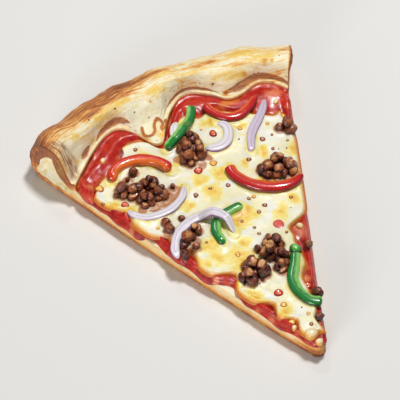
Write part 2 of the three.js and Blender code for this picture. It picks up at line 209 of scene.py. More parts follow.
# %% The lip, the cheese's end and the bays at the cuts
# The inner edge of the rim and the edge of the cheese beside it: (degrees, radius).
lip_radius = curve_through([
    (-24, 145), (-19, 150), (-15, 154.5), (-11, 158), (-8.4, 157), (-6.8, 150.5), (-5.6, 141.5),
    (-4.4, 138.8), (-3.2, 140), (-1.6, 145.5), (1.6, 155), (5.2, 160.4), (8.8, 156), (11.6, 150.8),
    (14.4, 152), (17.6, 157), (20.4, 155.8), (24, 149),
])
cheese_radius = curve_through([
    (-24, 133), (-20, 139.5), (-16, 141), (-13.6, 143.5), (-12, 147.4), (-9.4, 148.6), (-6.4, 144.8),
    (-5, 138), (-3.8, 137.4), (-0.4, 144.5), (2.6, 149.6), (5, 145.6), (7.4, 147.6), (12, 143.5),
    (17, 139), (19.4, 137.6), (21.2, 140.6), (24, 137),
])
# Where an edge draws back from a cut: (radius, how far in mm, half width).
lay_back_cheese_left = bumps([
    (22, 4.4, 4), (35, 5.2, 4.5), (58.5, 7.2, 5), (80, 4.6, 5), (94, 4.4, 5), (119, 3, 6), (144, 7, 6),
])
lay_back_cheese_right = bumps([
    (19, 2.6, 5), (31, 2.0, 5), (42, 5.6, 8), (55, 3.6, 5), (62.4, 5.8, 4.6), (70.4, 8.4, 5),
    (138, 4.6, 8),
])
lay_back_sauce_left = bumps([(56, 4.2, 5.5), (99, 2.2, 5), (150, 4, 5)])
lay_back_sauce_right = bumps([(90, 0.8, 10), (118, 0.6, 8)])
print("lip runs from", lip_radius(-4.4).round(1), "to", lip_radius(5.2).round(1), "mm")


# %% Points between the two cuts
# An edge is never laid back by more than this share of the half angle.
LAID_BACK_AT_MOST = 0.8


def half_angle(radius):
    """The angle from the centreline to a cut. The tip is rounded."""
    straight = HALF_ANGLE + SIDE_BULGE * np.sin(np.pi * radius / PIZZA_RADIUS)
    cosine = (radius ** 2 + TIP_CENTRE ** 2 - TIP_RADIUS ** 2) / (2 * radius * TIP_CENTRE)
    rounded = np.minimum(straight, np.arccos(np.clip(cosine, -1, 1)))
    return np.where(radius >= TIP_CENTRE * math.cos(HALF_ANGLE) ** 2, straight, rounded)


def angle_between(radius, across, left=0.0, right=0.0):
    """The angle at across = -1 (left cut) to 1 (right cut), with both edges laid back in mm."""
    limit = half_angle(radius)
    low = -limit + np.minimum(left / radius, limit * LAID_BACK_AT_MOST)
    high = limit - np.minimum(right / radius, limit * LAID_BACK_AT_MOST)
    return mix(low, high, (across + 1) / 2)


def on_slice(radius, angle, z):
    """Points in mm. The tip leans a little to the right."""
    lean = TIP_LEAN * np.exp(-((radius / TIP_LEAN_REACH) ** 2))
    return np.stack([radius * np.sin(angle) + lean, radius * np.cos(angle), z], axis=-1)


def wander(points, cell, seed):
    """Smooth random values between -1 and 1 that change over about one cell."""
    size = 32
    table = np.random.default_rng(seed).uniform(-1, 1, (size, size, size))
    scaled = np.asarray(points, float) / cell
    low = np.floor(scaled).astype(int)
    ease = (scaled - low) ** 2 * (3 - 2 * (scaled - low))
    total = 0.0
    for corner in np.ndindex(2, 2, 2):
        a, b, c = np.moveaxis((low + corner) % size, -1, 0)
        weight = np.prod(np.where(np.array(corner, bool), ease, 1 - ease), axis=-1)
        total = total + weight * table[a, b, c]
    return total


END_DEGREES = math.degrees(half_angle(COLUMNS_AT))
print("the cuts meet at", round(2 * math.degrees(HALF_ANGLE), 1), "degrees")
print("across the middle of the rim:", round(2 * END_DEGREES, 1), "degrees")

# %% [markdown]
# ## From a box to a bent slab
#
# The base, the sauce and the cheese are bent slabs. We take the outside of a box that is cut
# into small squares, and move each point to its place on the slice: a closed skin with neat
# rows, fine enough to carry pores and blisters. A Boolean or a remesh would lose those rows,
# and with them the control over what lies along a cut.

# %% The skin of a box, bent
def block(counts, place):
    """The skin of a box with counts points along its three sides. place(u, v, w) gives the
    points in mm and the marks to paint on them."""
    skin = np.ones(counts, bool)
    skin[1:-1, 1:-1, 1:-1] = False
    number = np.full(counts, -1)
    number[skin] = np.arange(skin.sum())
    u, v, w = (index / (size - 1) for index, size in zip(np.nonzero(skin), counts))
    points, marks = place(u, v, w)
    faces = []
    for axis in range(3):
        for end in (0, -1):
            sheet = np.take(number, end, axis=axis)
            square = [sheet[:-1, :-1], sheet[1:, :-1], sheet[1:, 1:], sheet[:-1, 1:]]
            turned = (end == 0) == (axis == 1)
            square = square if turned else square[::-1]
            faces.append(np.stack(square, axis=-1).reshape(-1, 4))
    return points, np.concatenate(faces), marks


def signed_volume(points, faces):
    a, b, c = (points[faces[:, i]] for i in range(3))
    volume = np.einsum("ij,ij->i", a, np.cross(b, c)).sum()
    if faces.shape[1] == 4:
        d = points[faces[:, 3]]
        volume += np.einsum("ij,ij->i", a, np.cross(c, d)).sum()
    return volume / 6


box_points, box_faces, _ = block((3, 3, 3), lambda u, v, w: (np.stack([u, v, w], -1), {}))
box_volume = abs(signed_volume(box_points, box_faces))
print("a test box of 1 x 1 x 1 has", len(box_faces), "squares and a volume of", box_volume.round(3))


# %% A finished piece
def finish_piece(name, points, faces, marks, material, slot, stands_for=()):
    """Makes the object from points in mm, paints its marks, and hangs it in the frame."""
    if signed_volume(points, faces) < 0:
        faces = faces[:, ::-1]
    mesh = bpy.data.meshes.new(name)
    placed = (points - (0, ORIGIN_FROM_CENTRE, 0)) * MM
    mesh.from_pydata(placed.tolist(), [], faces.tolist())
    mesh.shade_smooth()
    for mark, values in marks.items():
        layer = mesh.attributes.new(mark, "FLOAT", "POINT")
        layer.data.foreach_set("value", np.asarray(values, np.float32))
    mesh.materials.append(material)
    piece = bpy.data.objects.new(name, mesh)
    bpy.context.collection.objects.link(piece)
    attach(piece, "root")
    if stands_for:
        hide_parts(*stands_for)
    print(f"{name}: {len(points)} points, {len(faces)} faces")


def point_normals(points, faces):
    """Average directions away from the surface."""
    corners = points[faces]
    flat = np.cross(corners[:, 2] - corners[:, 0], corners[:, -1] - corners[:, 1])
    total = np.zeros_like(points)
    for i in range(faces.shape[1]):
        np.add.at(total, faces[:, i], flat)
    length = np.linalg.norm(total, axis=1, keepdims=True)
    return total / np.maximum(length, 1e-9) * np.sign(signed_volume(points, faces))


box_normals = point_normals(box_points, box_faces)
print("a corner of the test box points to", box_normals[-1].round(2))

# %% [markdown]
# ## Materials from nodes
#
# Each finish is a small graph: noise in the object's own space for what varies at random, and
# the painted marks for what has a cause, such as toast on a ridge or oil beside meat. Images
# would need unwrapping and would not follow the geometry. A few helpers keep the graphs short.

# %% Nodes that make numbers
class Graph:
    """The node graph of a material, with short names for the nodes that are used here."""

    def __init__(self, material):
        self.nodes = material.node_tree.nodes
        self.links = material.node_tree.links
        self.space = self.nodes.new("ShaderNodeTexCoord").outputs["Object"]

    def feed(self, socket, value):
        if hasattr(value, "is_output"):
            self.links.new(value, socket)
        else:
            socket.default_value = value

    def mark(self, name):
        node = self.nodes.new("ShaderNodeAttribute")
        node.attribute_name = name
        return node.outputs["Fac"]

    def vector(self, x, y):
        """A flat space made of two marks that are painted in mm."""
        node = self.nodes.new("ShaderNodeCombineXYZ")
        self.links.new(x, node.inputs["X"])
        self.links.new(y, node.inputs["Y"])
        return node.outputs["Vector"]

    def noise(self, per_mm, detail=3.0, roughness=0.55, space=None):
        node = self.nodes.new("ShaderNodeTexNoise")
        node.inputs["Scale"].default_value = per_mm if space else per_mm / MM
        node.inputs["Detail"].default_value = detail
        node.inputs["Roughness"].default_value = roughness
        self.links.new(space or self.space, node.inputs["Vector"])
        return node.outputs["Fac"]

    def cells(self, per_mm):
        node = self.nodes.new("ShaderNodeTexVoronoi")
        node.inputs["Scale"].default_value = per_mm / MM
        self.links.new(self.space, node.inputs["Vector"])
        return node.outputs["Distance"]

    def math(self, operation, first, second=0.0):
        node = self.nodes.new("ShaderNodeMath")
        node.operation = operation
        self.feed(node.inputs[0], first)
        self.feed(node.inputs[1], second)
        return node.outputs[0]

    def weighted(self, *terms):
        """The sum of (value, weight) pairs, plus the last term, a plain number."""
        total = terms[-1]
        for value, weight in terms[:-1]:
            total = self.math("ADD", self.math("MULTIPLY", value, weight), total)
        return total

    def step(self, value, low, high):
        node = self.nodes.new("ShaderNodeMapRange")
        node.interpolation_type = "SMOOTHSTEP"
        self.feed(node.inputs["Value"], value)
        node.inputs["From Min"].default_value = low
        node.inputs["From Max"].default_value = high
        return node.outputs["Result"]

    def between(self, value, low, high):
        """Maps 0 to 1 onto low to high."""
        node = self.nodes.new("ShaderNodeMapRange")
        self.feed(node.inputs["Value"], value)
        node.inputs["To Min"].default_value = low
        node.inputs["To Max"].default_value = high
        return node.outputs["Result"]


print("numbers:", ", ".join(name for name in vars(Graph) if not name.startswith("_")))


# %% Nodes that make colours, and the main shader
class Finish(Graph):
    """A material in the making. Constants go straight to the sockets of its main shader."""

    def __init__(self, name, **constants):
        self.material = bpy.data.materials.new(name)
        self.material.use_nodes = True
        super().__init__(self.material)
        self.shader = self.nodes["Principled BSDF"]
        for socket, value in constants.items():
            self.shader.inputs[socket.replace("_", " ")].default_value = value

    def ramp(self, value, stops):
        node = self.nodes.new("ShaderNodeValToRGB")
        elements = node.color_ramp.elements
        while len(elements) < len(stops):
            elements.new(0.5)
        for element, (place, colour) in zip(elements, stops):
            element.position = place
            element.color = (*colour, 1)
        self.feed(node.inputs["Fac"], value)
        return node.outputs["Color"]

    def blend(self, amount, first, second):
        node = self.nodes.new("ShaderNodeMix")
        node.data_type = "RGBA"
        self.feed(node.inputs[0], amount)
        for socket, value in ((node.inputs[6], first), (node.inputs[7], second)):
            self.feed(socket, value if hasattr(value, "is_output") else (*value, 1))
        return node.outputs[2]

    def colour(self, value):
        self.links.new(value, self.shader.inputs["Base Color"])

    def roughness(self, value):
        self.links.new(value, self.shader.inputs["Roughness"])

    def bump(self, height, millimetres, strength=1.0):
        node = self.nodes.new("ShaderNodeBump")
        node.inputs["Strength"].default_value = strength
        node.inputs["Distance"].default_value = millimetres * MM
        self.links.new(height, node.inputs["Height"])
        self.links.new(node.outputs["Normal"], self.shader.inputs["Normal"])

    def done(self):
        print(f"{self.material.name}: {len(self.nodes)} nodes")
        return self.material


print("colours and shader:", ", ".join(name for name in vars(Finish) if not name.startswith("_")))

# %% [markdown]
# ## Baked dough
#
# The rim is a roll of dough that puffed in the oven. Its top is floury and cream coloured,
# its outside and the folds behind the lip caught the heat, and at each cut we look into the
# crumb: a pale, open inside behind a brown skin. Most of the colour is a matter of where the
# heat went, so we paint a toast mark from the shape and let noise break its edge. Some marks
# are painted shade: a dark stroke on the fold near the left end, a dark line where the skin
# meets the sunk crumb, and darker spots in the crumb's pores.

# %% The dough's finish
def dough_finish():
    f = Finish(
        "baked_dough",
        Subsurface_Weight=0.06, Subsurface_Scale=0.002, Subsurface_Radius=(1.0, 0.6, 0.3),
    )
    along, roll = f.mark("along"), f.mark("roll")
    length_wise = f.vector(along, roll)
    lines = f.step(f.noise(0.9, 4, 0.6, space=length_wise), 0.36, 0.64)
    fine_lines = f.step(f.noise(2.4, 3, 0.6, space=length_wise), 0.38, 0.62)
    across = f.vector(f.math("MULTIPLY", along, 14.0), f.math("MULTIPLY", roll, 0.16))
    strokes = f.step(f.noise(0.8, 2, 0.5, space=across), 0.42, 0.56)
    brush = f.noise(0.5, 5, 0.65)
    drawn = f.math("MULTIPLY", f.mark("drawn"), f.weighted((lines, 0.6), (fine_lines, 0.4), -0.4))
    toast = f.weighted(
        (f.mark("toast"), 1.1), (f.noise(0.13, 5), 0.3), (brush, 0.3), (drawn, 0.42),
        (lines, 0.04), -0.34,
    )
    crust = f.ramp(toast, [
        (0.0, (0.94, 0.88, 0.66)), (0.14, (0.93, 0.77, 0.42)), (0.30, (0.88, 0.48, 0.13)),
        (0.48, (0.64, 0.22, 0.05)), (0.72, (0.28, 0.075, 0.02)), (1.0, (0.07, 0.025, 0.012)),
    ])
    gold = f.weighted((f.mark("gold"), 0.9), (brush, 1.1), (lines, 0.16), -0.65)
    yellow = f.blend(brush, (0.95, 0.74, 0.16), (0.88, 0.48, 0.06))
    crust = f.blend(f.math("MULTIPLY", f.step(gold, 0.1, 0.9), 0.92), crust, yellow)
    ragged_fold = f.weighted((f.mark("fold"), 1.0), (brush, 0.5), (fine_lines, 0.2), -0.35)
    fold = f.step(ragged_fold, 0.12, 0.85)
    fold_colour = f.ramp(f.weighted((lines, 0.5), (fine_lines, 0.5), 0.0), [
        (0.15, (0.22, 0.045, 0.013)), (0.5, (0.42, 0.115, 0.03)), (0.9, (0.72, 0.33, 0.11)),
    ])
    crust = f.blend(f.math("MULTIPLY", fold, 0.9), crust, fold_colour)
    crease = f.step(f.weighted((f.mark("crease"), 1.0), (brush, 0.4), -0.2), 0.2, 0.75)
    crust = f.blend(crease, crust, f.blend(lines, (0.36, 0.10, 0.02), (0.60, 0.22, 0.05)))
    # Painted shade: a dark brown stroke where the fold near the left end lies in shade.
    hatch = f.math("MULTIPLY", f.mark("hatch"), f.between(strokes, 1.0, 0.3))
    crust = f.blend(f.math("MULTIPLY", hatch, 0.92), crust, (0.30, 0.09, 0.03))
    wall = f.step(f.weighted((f.mark("wall"), 1.0), (brush, 0.4), -0.2), 0.3, 0.7)
    crust = f.blend(wall, crust, f.blend(brush, (0.50, 0.06, 0.02), (0.80, 0.24, 0.06)))
    crumb = f.ramp(f.noise(0.3, 4), [
        (0.34, (0.90, 0.70, 0.32)), (0.52, (0.95, 0.84, 0.55)), (0.70, (0.96, 0.92, 0.78)),
    ])
    # Painted shade: darker, warmer spots where the crumb's pores would lie in shade.
    pores = f.step(f.cells(0.7), 0.02, 0.32)
    crumb = f.blend(f.between(pores, 0.3, 0.0), crumb, (0.74, 0.45, 0.16))
    inside = f.step(f.math("ADD", f.mark("crumb"), f.weighted((brush, 0.3), -0.15)), 0.35, 0.65)
    f.colour(f.blend(inside, crust, crumb))
    f.roughness(f.between(toast, 0.8, 0.45))
    height = f.weighted((f.noise(0.8, 6, 0.65), 1.0), (f.cells(0.4), 0.35), (lines, 0.2), 0.0)
    f.bump(height, 0.5, 0.6)
    return f.done()


BAKED_DOUGH = dough_finish()

# %% [markdown]
# The profile of the rim is half an ellipse on the outside and a soft fall towards the lip on
# the inside. The lip itself is a thin raised edge with a hollow behind it.

# %% The shape of the rim
RIM_HEIGHT = 23
LEFT_END_RISE = 3.6
ENDS_DRAW_BACK = 2.2
RIM_CREST_INSET = 14.5
RIM_WIDTH = 27
RIM_FOOT = 6
RIM_BELLY = 10.5
RIM_SLOPE = 1.3
LIP_TOP = 12
LIP_EDGE = 1.0
LIP_HOLLOW = 0.4


def rim_outside(degrees):
    return PIZZA_RADIUS - ENDS_DRAW_BACK * np.abs(degrees / 22.5) ** 3 + 0.5 * np.sin(degrees * 0.9)


def rim_height(degrees):
    left_end = np.exp(-(((degrees + 23) / 5) ** 2))
    return RIM_HEIGHT + LEFT_END_RISE * left_end + 0.6 * np.sin(degrees * 0.55)


def rim_top(radius, degrees):
    """Height of the dough's upper side outside the lip."""
    outside = rim_outside(degrees)
    crest = outside - RIM_CREST_INSET
    height = rim_height(degrees)
    lip = lip_radius(degrees)
    foot = np.maximum(lip + 0.8, outside - RIM_WIDTH)
    out = np.clip((radius - crest) / RIM_CREST_INSET, 0, 1)
    outer = RIM_BELLY + (height - RIM_BELLY) * np.sqrt(1 - out ** 2)
    fall = np.clip((crest - radius) / (crest - foot), 0, 1) ** RIM_SLOPE
    inner = LIP_TOP + (height - LIP_TOP) * (1 + np.cos(np.pi * fall)) / 2
    top = np.where(radius > crest, outer, inner)
    behind = radius - lip
    edge = LIP_EDGE * np.exp(-(((behind - 0.9) / 0.8) ** 2))
    hollow = LIP_HOLLOW * np.exp(-(((behind - 2.7) / 1.1) ** 2))
    return top + edge - hollow


def rim_underside(radius, degrees):
    out = np.clip((radius - rim_outside(degrees) + RIM_FOOT) / RIM_FOOT, 0, 1)
    return RIM_BELLY * (1 - np.sqrt(1 - out ** 2)) - 0.05 * (out > 0.999)


print("crest height at the left cut:", rim_height(-22.5).round(1), "mm")

# %% [markdown]
# The oven left orange and golden patches on the rim, browned folds behind the lip and a crease
# in loops, and a stroke of painted shade darkens the fold near the left end. Each is written as
# a place with a reach or as a short path. A painted image could hold them too, but here they
# follow when the rim changes.

# %% Patches, folds and strokes
# Orange and golden patches on the rim: (degrees, radius, half width in degrees, in mm, strength).
ORANGE_PATCHES = [
    (-3.5, 170.5, 4, 3.4, 0.30), (-8.5, 168, 4, 3.6, 0.22), (-13, 168, 3.5, 4, 0.18),
    (-7, 165.2, 4.6, 1.8, 0.28), (-12.6, 164.6, 2.6, 1.8, 0.24), (-5.2, 146, 1.6, 3.0, 0.16),
    (-2.4, 149, 1.0, 4.0, 0.14), (-19, 166, 3, 5, 0.20), (10.2, 167.3, 1.7, 1.4, 0.42),
    (14.2, 162, 2.2, 1.3, 0.30), (15.2, 158.6, 0.7, 1.0, 0.42), (18.8, 162, 0.6, 1.2, 0.6),
    (20, 161.2, 0.3, 0.5, 0.5), (11.6, 153.9, 0.6, 0.8, 0.6), (15.4, 168.6, 2.4, 1.4, 0.32),
    (5.7, 166.8, 3.4, 1.2, 0.30), (22.2, 167, 1.4, 1.6, 0.36), (20.2, 158.2, 2.6, 0.8, 0.34),
    (20.8, 156.6, 2.2, 0.5, 0.30), (-2, 158.1, 0.4, 0.6, 0.3), (1.5, 170, 3, 1.4, 0.3),
]
GOLD_PATCHES = [
    (-7, 162.4, 3.0, 2.0, 1.0), (-12, 162, 2.2, 2.0, 0.8), (-0.5, 161, 2.2, 2.6, 1.0),
    (15.4, 167.6, 3.4, 2.8, 1.0), (-17.5, 160, 1.4, 2.2, 0.8), (-3, 143.6, 1.0, 2.6, 0.9),
    (8, 164, 3.4, 1.8, 0.6), (20, 165, 2, 2.2, 0.8), (-19.5, 154, 1.0, 2.0, 0.7),
    (2, 167, 2.6, 2.0, 0.7), (13.2, 158, 2.6, 2.6, 0.9), (-14.5, 158.4, 1.6, 1.6, 0.6),
    (-5.4, 147.4, 0.7, 3.0, 0.8), (4.6, 163.4, 2.6, 1.6, 0.5), (17.6, 162.6, 2.4, 2.2, 0.7),
    (10, 159.6, 1.4, 1.4, 0.6),
]
# Folds that caught the heat. Each runs beside the lip from one angle to another in degrees; its
# distance from the lip over the surface and its half width in mm change from start to end.
FOLDS = [
    (-13.4, -6.9, (2.0, 5.8), (0.8, 3.0)), (1.0, 9.8, (2.9, 2.9), (0.9, 0.9)),
    (12.0, 24.5, (4.4, 2.8), (2.6, 0.8)), (-17.8, -15.0, (3.4, 3.4), (1.5, 1.5)),
]
# Painted shade on the fold near the left end, a stroke across the roll: (degrees, radius).
END_SHADE_PATH = [(-21.9, 164), (-21.4, 160), (-21.0, 156.4), (-21.0, 153.4), (-21.6, 150)]
END_SHADE_WIDTH = 3.6
# A crease that runs in loops over the tongue of dough between the two bays: (x, y).
CREASE = [
    (-13.6, 151.4), (-14.4, 149.0), (-14.6, 147.0), (-13.6, 145.6), (-12.0, 145.1), (-10.4, 145.6),
    (-9.0, 147.0), (-8.2, 149.0), (-7.2, 151.0), (-5.6, 152.3), (-4.2, 151.9), (-3.6, 150.4),
    (-3.9, 148.8), (-5.2, 147.6), (-5.4, 146.2), (-4.2, 145.8), (-2.8, 147.0), (-1.8, 148.8),
    (-1.8, 150.6),
]
CREASE_WIDTH = 0.9
print("patches:", len(ORANGE_PATCHES), "orange and", len(GOLD_PATCHES), "golden; folds:", len(FOLDS))


# %% Paths and the distance to them
def distance_to_line(points, line, widths=1.0, chunk=4000):
    """Distance from each 2D point to a finely divided line, as a share of the line's widths."""
    nearest = [
        (np.sqrt(((points[i:i + chunk, None] - line[None]) ** 2).sum(-1)) / widths).min(1)
        for i in range(0, len(points), chunk)
    ]
    return np.concatenate(nearest)


def smooth_path(places, step=0.4):
    """Points every step mm on a smooth curve through the places, and the distance along."""
    places = np.array(places, float)
    gone = np.concatenate([[0], np.cumsum(np.linalg.norm(np.diff(places, axis=0), axis=1))])
    fine = np.linspace(0, gone[-1], int(gone[-1] / step) + 1)
    line = np.stack([curve_through(list(zip(gone, places[:, i])))(fine) for i in (0, 1)], -1)
    length = np.concatenate([[0], np.cumsum(np.linalg.norm(np.diff(line, axis=0), axis=1))])
    return line, length


CREASE_LINE, crease_length = smooth_path(CREASE)
print("the crease is", crease_length[-1].round(1), "mm long")


# %% Where the heat went
RIM_FROM = 138


def patches(places, degrees, radius):
    total = np.zeros_like(radius)
    for at, middle, wide, deep, strength in places:
        away = ((degrees - at) / wide) ** 2 + ((radius - middle) / deep) ** 2
        total += strength * np.exp(-away)
    return total


def hatch_mark(flat):
    """How much each point lies in the stroke of painted shade near the left end, from 0 to 1."""
    mark = np.zeros(len(flat))
    near = np.hypot(flat[:, 0], flat[:, 1]) > RIM_FROM
    plan = [(r * math.sin(math.radians(d)), r * math.cos(math.radians(d))) for d, r in END_SHADE_PATH]
    line, length = smooth_path(plan)
    swell = np.clip(np.sin(np.pi * length / length[-1]), 0, 1)
    widths = END_SHADE_WIDTH * (0.3 + 0.7 * swell ** 0.7)
    mark[near] = smoothstep(distance_to_line(flat[near], line, widths), 1.7, 0.4)
    return mark


def fold_mark(radius, degrees, z):
    """How much each point lies in a fold behind the lip, from 0 to 1."""
    away = np.hypot(radius - lip_radius(degrees), z - LIP_TOP)
    mark = np.zeros_like(radius)
    for start, end, distances, widths in FOLDS:
        part = np.clip((degrees - start) / (end - start), 0, 1)
        swell = np.clip(np.sin(np.pi * part), 0, 1) ** 0.5
        across = np.abs(away - mix(*distances, part)) / np.maximum(mix(*widths, part) * swell, 0.05)
        mark = np.maximum(mark, smoothstep(across, 1.5, 0.5) * (swell > 0))
    return mark


def rim_heat(radius, degrees, z):
    """For points of the rim's skin: toast, gold, the red wall of the lip and drawn streaks."""
    behind = radius - lip_radius(degrees)
    beyond = radius - rim_outside(degrees) + RIM_CREST_INSET
    left_half = smoothstep(degrees, 4, -7)
    outer = smoothstep(beyond, -1, 11)
    under = smoothstep(beyond, 9, 14) * smoothstep(z, 17, 6)
    left_end = np.exp(-(((degrees + 22.6) / 1.4) ** 2)) * smoothstep(behind, 2, 8)
    lip_back = np.exp(-(((behind - 1.9) / 0.5) ** 2))
    lip_edge = np.exp(-(((behind - 0.5) / 0.5) ** 2))
    toast = outer * mix(0.10, 0.42, left_half) + 0.22 * under + 0.22 * left_end
    toast += 0.14 * lip_back + 0.12 * lip_edge + patches(ORANGE_PATCHES, degrees, radius)
    wall = smoothstep(behind, 0.8, 0.4) * smoothstep(behind, -3, 0) * smoothstep(z, 12.2, 11.0)
    drawn = 0.35 + 0.65 * smoothstep(beyond, -9, 0)
    return toast, patches(GOLD_PATCHES, degrees, radius), wall, drawn


sample = np.array([158.0, 168.0, 177.0])
print("toast from lip to outside:", rim_heat(sample, 0 * sample, 0 * sample + 18)[0].round(2))

# %% [markdown]
# At both ends the skin curls round the crumb. We measure how far each point of the cut lies
# inside the rim's outline, leave a band of skin standing and sink what is deeper. The pores
# of the crumb are pushed in the same way, by noise.

# %% The skin and the crumb at the cuts
SKIN = 7.0
SKIN_BELOW = 3.4
RECESS_DEPTH = 3.4
PORE_DEPTH = 0.35
RAGGED = 0.25
# Where a cut changes from flat base to rolled end, measured as radius plus most of the height.
ROLLED_BETWEEN = (152, 160)


def rim_outline(degrees):
    """The whole outline of the rim's section, over the crest and back along the underside."""
    lip, outside = lip_radius(degrees), rim_outside(degrees)
    part = (1 - np.cos(np.linspace(0, np.pi, 260))) / 2
    radius = mix(lip, outside, part)
    over = np.stack([radius, rim_top(radius, degrees)], -1)
    under = np.stack([mix(lip - 12, outside, part), 0 * radius], -1)
    under[:, 1] = rim_underside(under[:, 0], degrees)
    return np.concatenate([over, under[::-1]])


def cut_skin(radius, z, end):
    """For points of the cuts: depth inside the rim's outline, thickness of the skin, noise."""
    inside = np.zeros_like(z)
    section = np.stack([radius, z], -1)
    for side in (-1, 1):
        here = (end == side) & (radius > RIM_FROM)
        inside[here] = distance_to_line(section[here], rim_outline(side * END_DEGREES))
    uneven = wander(np.stack([radius, z, end * 9.0], -1), 5, 3)
    thick = mix(SKIN_BELOW, SKIN, smoothstep(z, 3, 12)) + 0.5 * uneven
    return inside, thick, uneven


def cut_relief(radius, z, low, top, end, inside, thick):
    """How far points of the cuts are sunk in mm, how much crumb shows, where it is rolled."""
    rolled_end = smoothstep(radius + 0.9 * z, *ROLLED_BETWEEN)
    deep = smoothstep(inside, thick - 0.3, thick + 1.5) * rolled_end
    grain = np.stack([radius, z * 1.6, end * 40.0], -1)
    pores = np.maximum(wander(grain, 1.8, 5), 0)
    ragged = RAGGED * wander(grain, 7, 7)
    off_edge = smoothstep(z - low, 0.0, 1.4) * smoothstep(top - z, 0.0, 0.8)
    base_crumb = off_edge * smoothstep(z, 2.2, 3.4)
    in_crumb = mix(base_crumb, smoothstep(inside, thick - 0.8, thick), rolled_end)
    sunk = RECESS_DEPTH * deep + (PORE_DEPTH * pores * in_crumb + ragged) * off_edge
    return sunk, in_crumb, rolled_end


def cut_heat(z, inside, thick, uneven, rolled_end):
    """Toast on the cuts: rings in the rolled skin, a brown line and a brown foot on the base. The
    ring where the skin meets the sunk crumb is painted shade at the edge of that hollow.
    """
    rings = np.exp(-(((inside - 0.52 * thick) / 0.35) ** 2))
    # Painted shade: a dark line where the skin meets the sunk crumb, at the edge of the hollow.
    rings += 1.4 * np.exp(-(((inside - thick) / 0.45) ** 2))
    skin = mix(0.36, 0.62, smoothstep(z, 3, 12)) + 0.16 * rings + 0.05 * uneven
    skin += 0.16 * np.exp(-inside / 0.5)
    base = 0.23 + 0.32 * smoothstep(z, 3.0, 0.8) + 0.14 * np.exp(-(((z - 3.8) / 0.6) ** 2))
    return mix(base, skin, rolled_end)


left_outline = rim_outline(-END_DEGREES)
print("the rolled end at the left cut is", np.ptp(left_outline[:, 1]).round(1), "mm high")

# %% Rows of the dough
BASE_ROWS = 76
RIM_ROWS = 118
DOUGH_COUNTS = (BASE_ROWS + RIM_ROWS, 200, 26)


def dough_layers(u, degrees, w):
    """Radius, underside, top and height of each point, and whether it belongs to the rim."""
    row = u * (DOUGH_COUNTS[0] - 1)
    lip, outside = lip_radius(degrees), rim_outside(degrees)
    on_rim = row >= BASE_ROWS
    in_base = np.clip(row / BASE_ROWS, 0, 1)
    in_rim = np.clip((row - BASE_ROWS) / (RIM_ROWS - 1), 0, 1)
    rolled = mix(lip, outside, (1 - np.cos(np.pi * in_rim)) / 2)
    radius = np.where(on_rim, rolled, mix(TIP_START, lip, in_base))
    wall = smoothstep(radius - lip, -0.1, 0.5)
    top = mix(BASE_TOP, rim_top(radius, degrees), wall)
    low = np.where(on_rim, rim_underside(radius, degrees), 0)
    z = mix(low, np.maximum(top, low + 0.1), w)
    return radius, low, top, z, on_rim


ends_of_rows = dough_layers(np.array([0.0, 1.0]), np.zeros(2), np.ones(2))[0]
print("rows run from", ends_of_rows[0].round(1), "to", ends_of_rows[1].round(1), "mm")

# %% The dough as one closed block
STREAK_SLOWNESS = 0.32
RIGHT_FLARE = math.radians(1.1)
FLARE_BETWEEN = (148, 172)
TIP_BETWEEN = (20, 7)
UNDERSIDE_TOAST = 0.42
TIP_TOAST = 0.2


def place_dough(u, v, w):
    across = 2 * v - 1
    degrees = across * END_DEGREES
    radius, low, top, z, on_rim = dough_layers(u, degrees, w)
    end = np.where(v == 0, -1, np.where(v == 1, 1, 0))
    inside, thick, uneven = cut_skin(radius, z, end)
    sunk, in_crumb, rolled_end = cut_relief(radius, z, low, top, end, inside, thick)
    flare = RIGHT_FLARE * smoothstep(radius, *FLARE_BETWEEN) * np.clip(across, 0, 1) ** 3
    angle = across * half_angle(radius) + flare - end * sunk / radius
    points = on_slice(radius, angle, z)

    toast, gold, wall, drawn = rim_heat(radius, degrees, z)
    at_cut = (end != 0) | (u == 0)
    toast = np.where(at_cut, cut_heat(z, inside, thick, uneven, rolled_end), toast)
    toast = np.where((w == 0) & ~at_cut, UNDERSIDE_TOAST, toast)
    tip = smoothstep(radius, *TIP_BETWEEN)
    on_top = (w == 1) & on_rim
    to_crease = distance_to_line(points[:, :2], CREASE_LINE)
    crease = np.exp(-((to_crease / CREASE_WIDTH) ** 2)) * on_top
    fold = fold_mark(radius, degrees, z) * on_top
    crest = rim_outside(degrees) - RIM_CREST_INSET
    return points, {
        "toast": toast + TIP_TOAST * tip,
        "gold": np.where(at_cut, 0.35 * smoothstep(uneven, -0.2, 0.6), gold),
        "wall": np.where(at_cut, 0, wall),
        "drawn": np.where(at_cut, 0.3, drawn),
        "hatch": hatch_mark(points[:, :2]) * on_top,
        "crumb": np.where(at_cut, in_crumb * mix(0.5, 1.0, rolled_end) * (1 - tip), 0),
        "fold": fold,
        "crease": crease,
        "along": degrees * STREAK_SLOWNESS,
        "roll": np.arctan2(z - RIM_BELLY, radius - crest) * RIM_CREST_INSET,
        "dent": 0.5 * fold - 0.45 * crease,
    }


points, faces, marks = block(DOUGH_COUNTS, place_dough)
print("toast runs from", marks["toast"].min().round(2), "to", marks["toast"].max().round(2))

# %% Blisters along the rim
PLUMP = 1.3


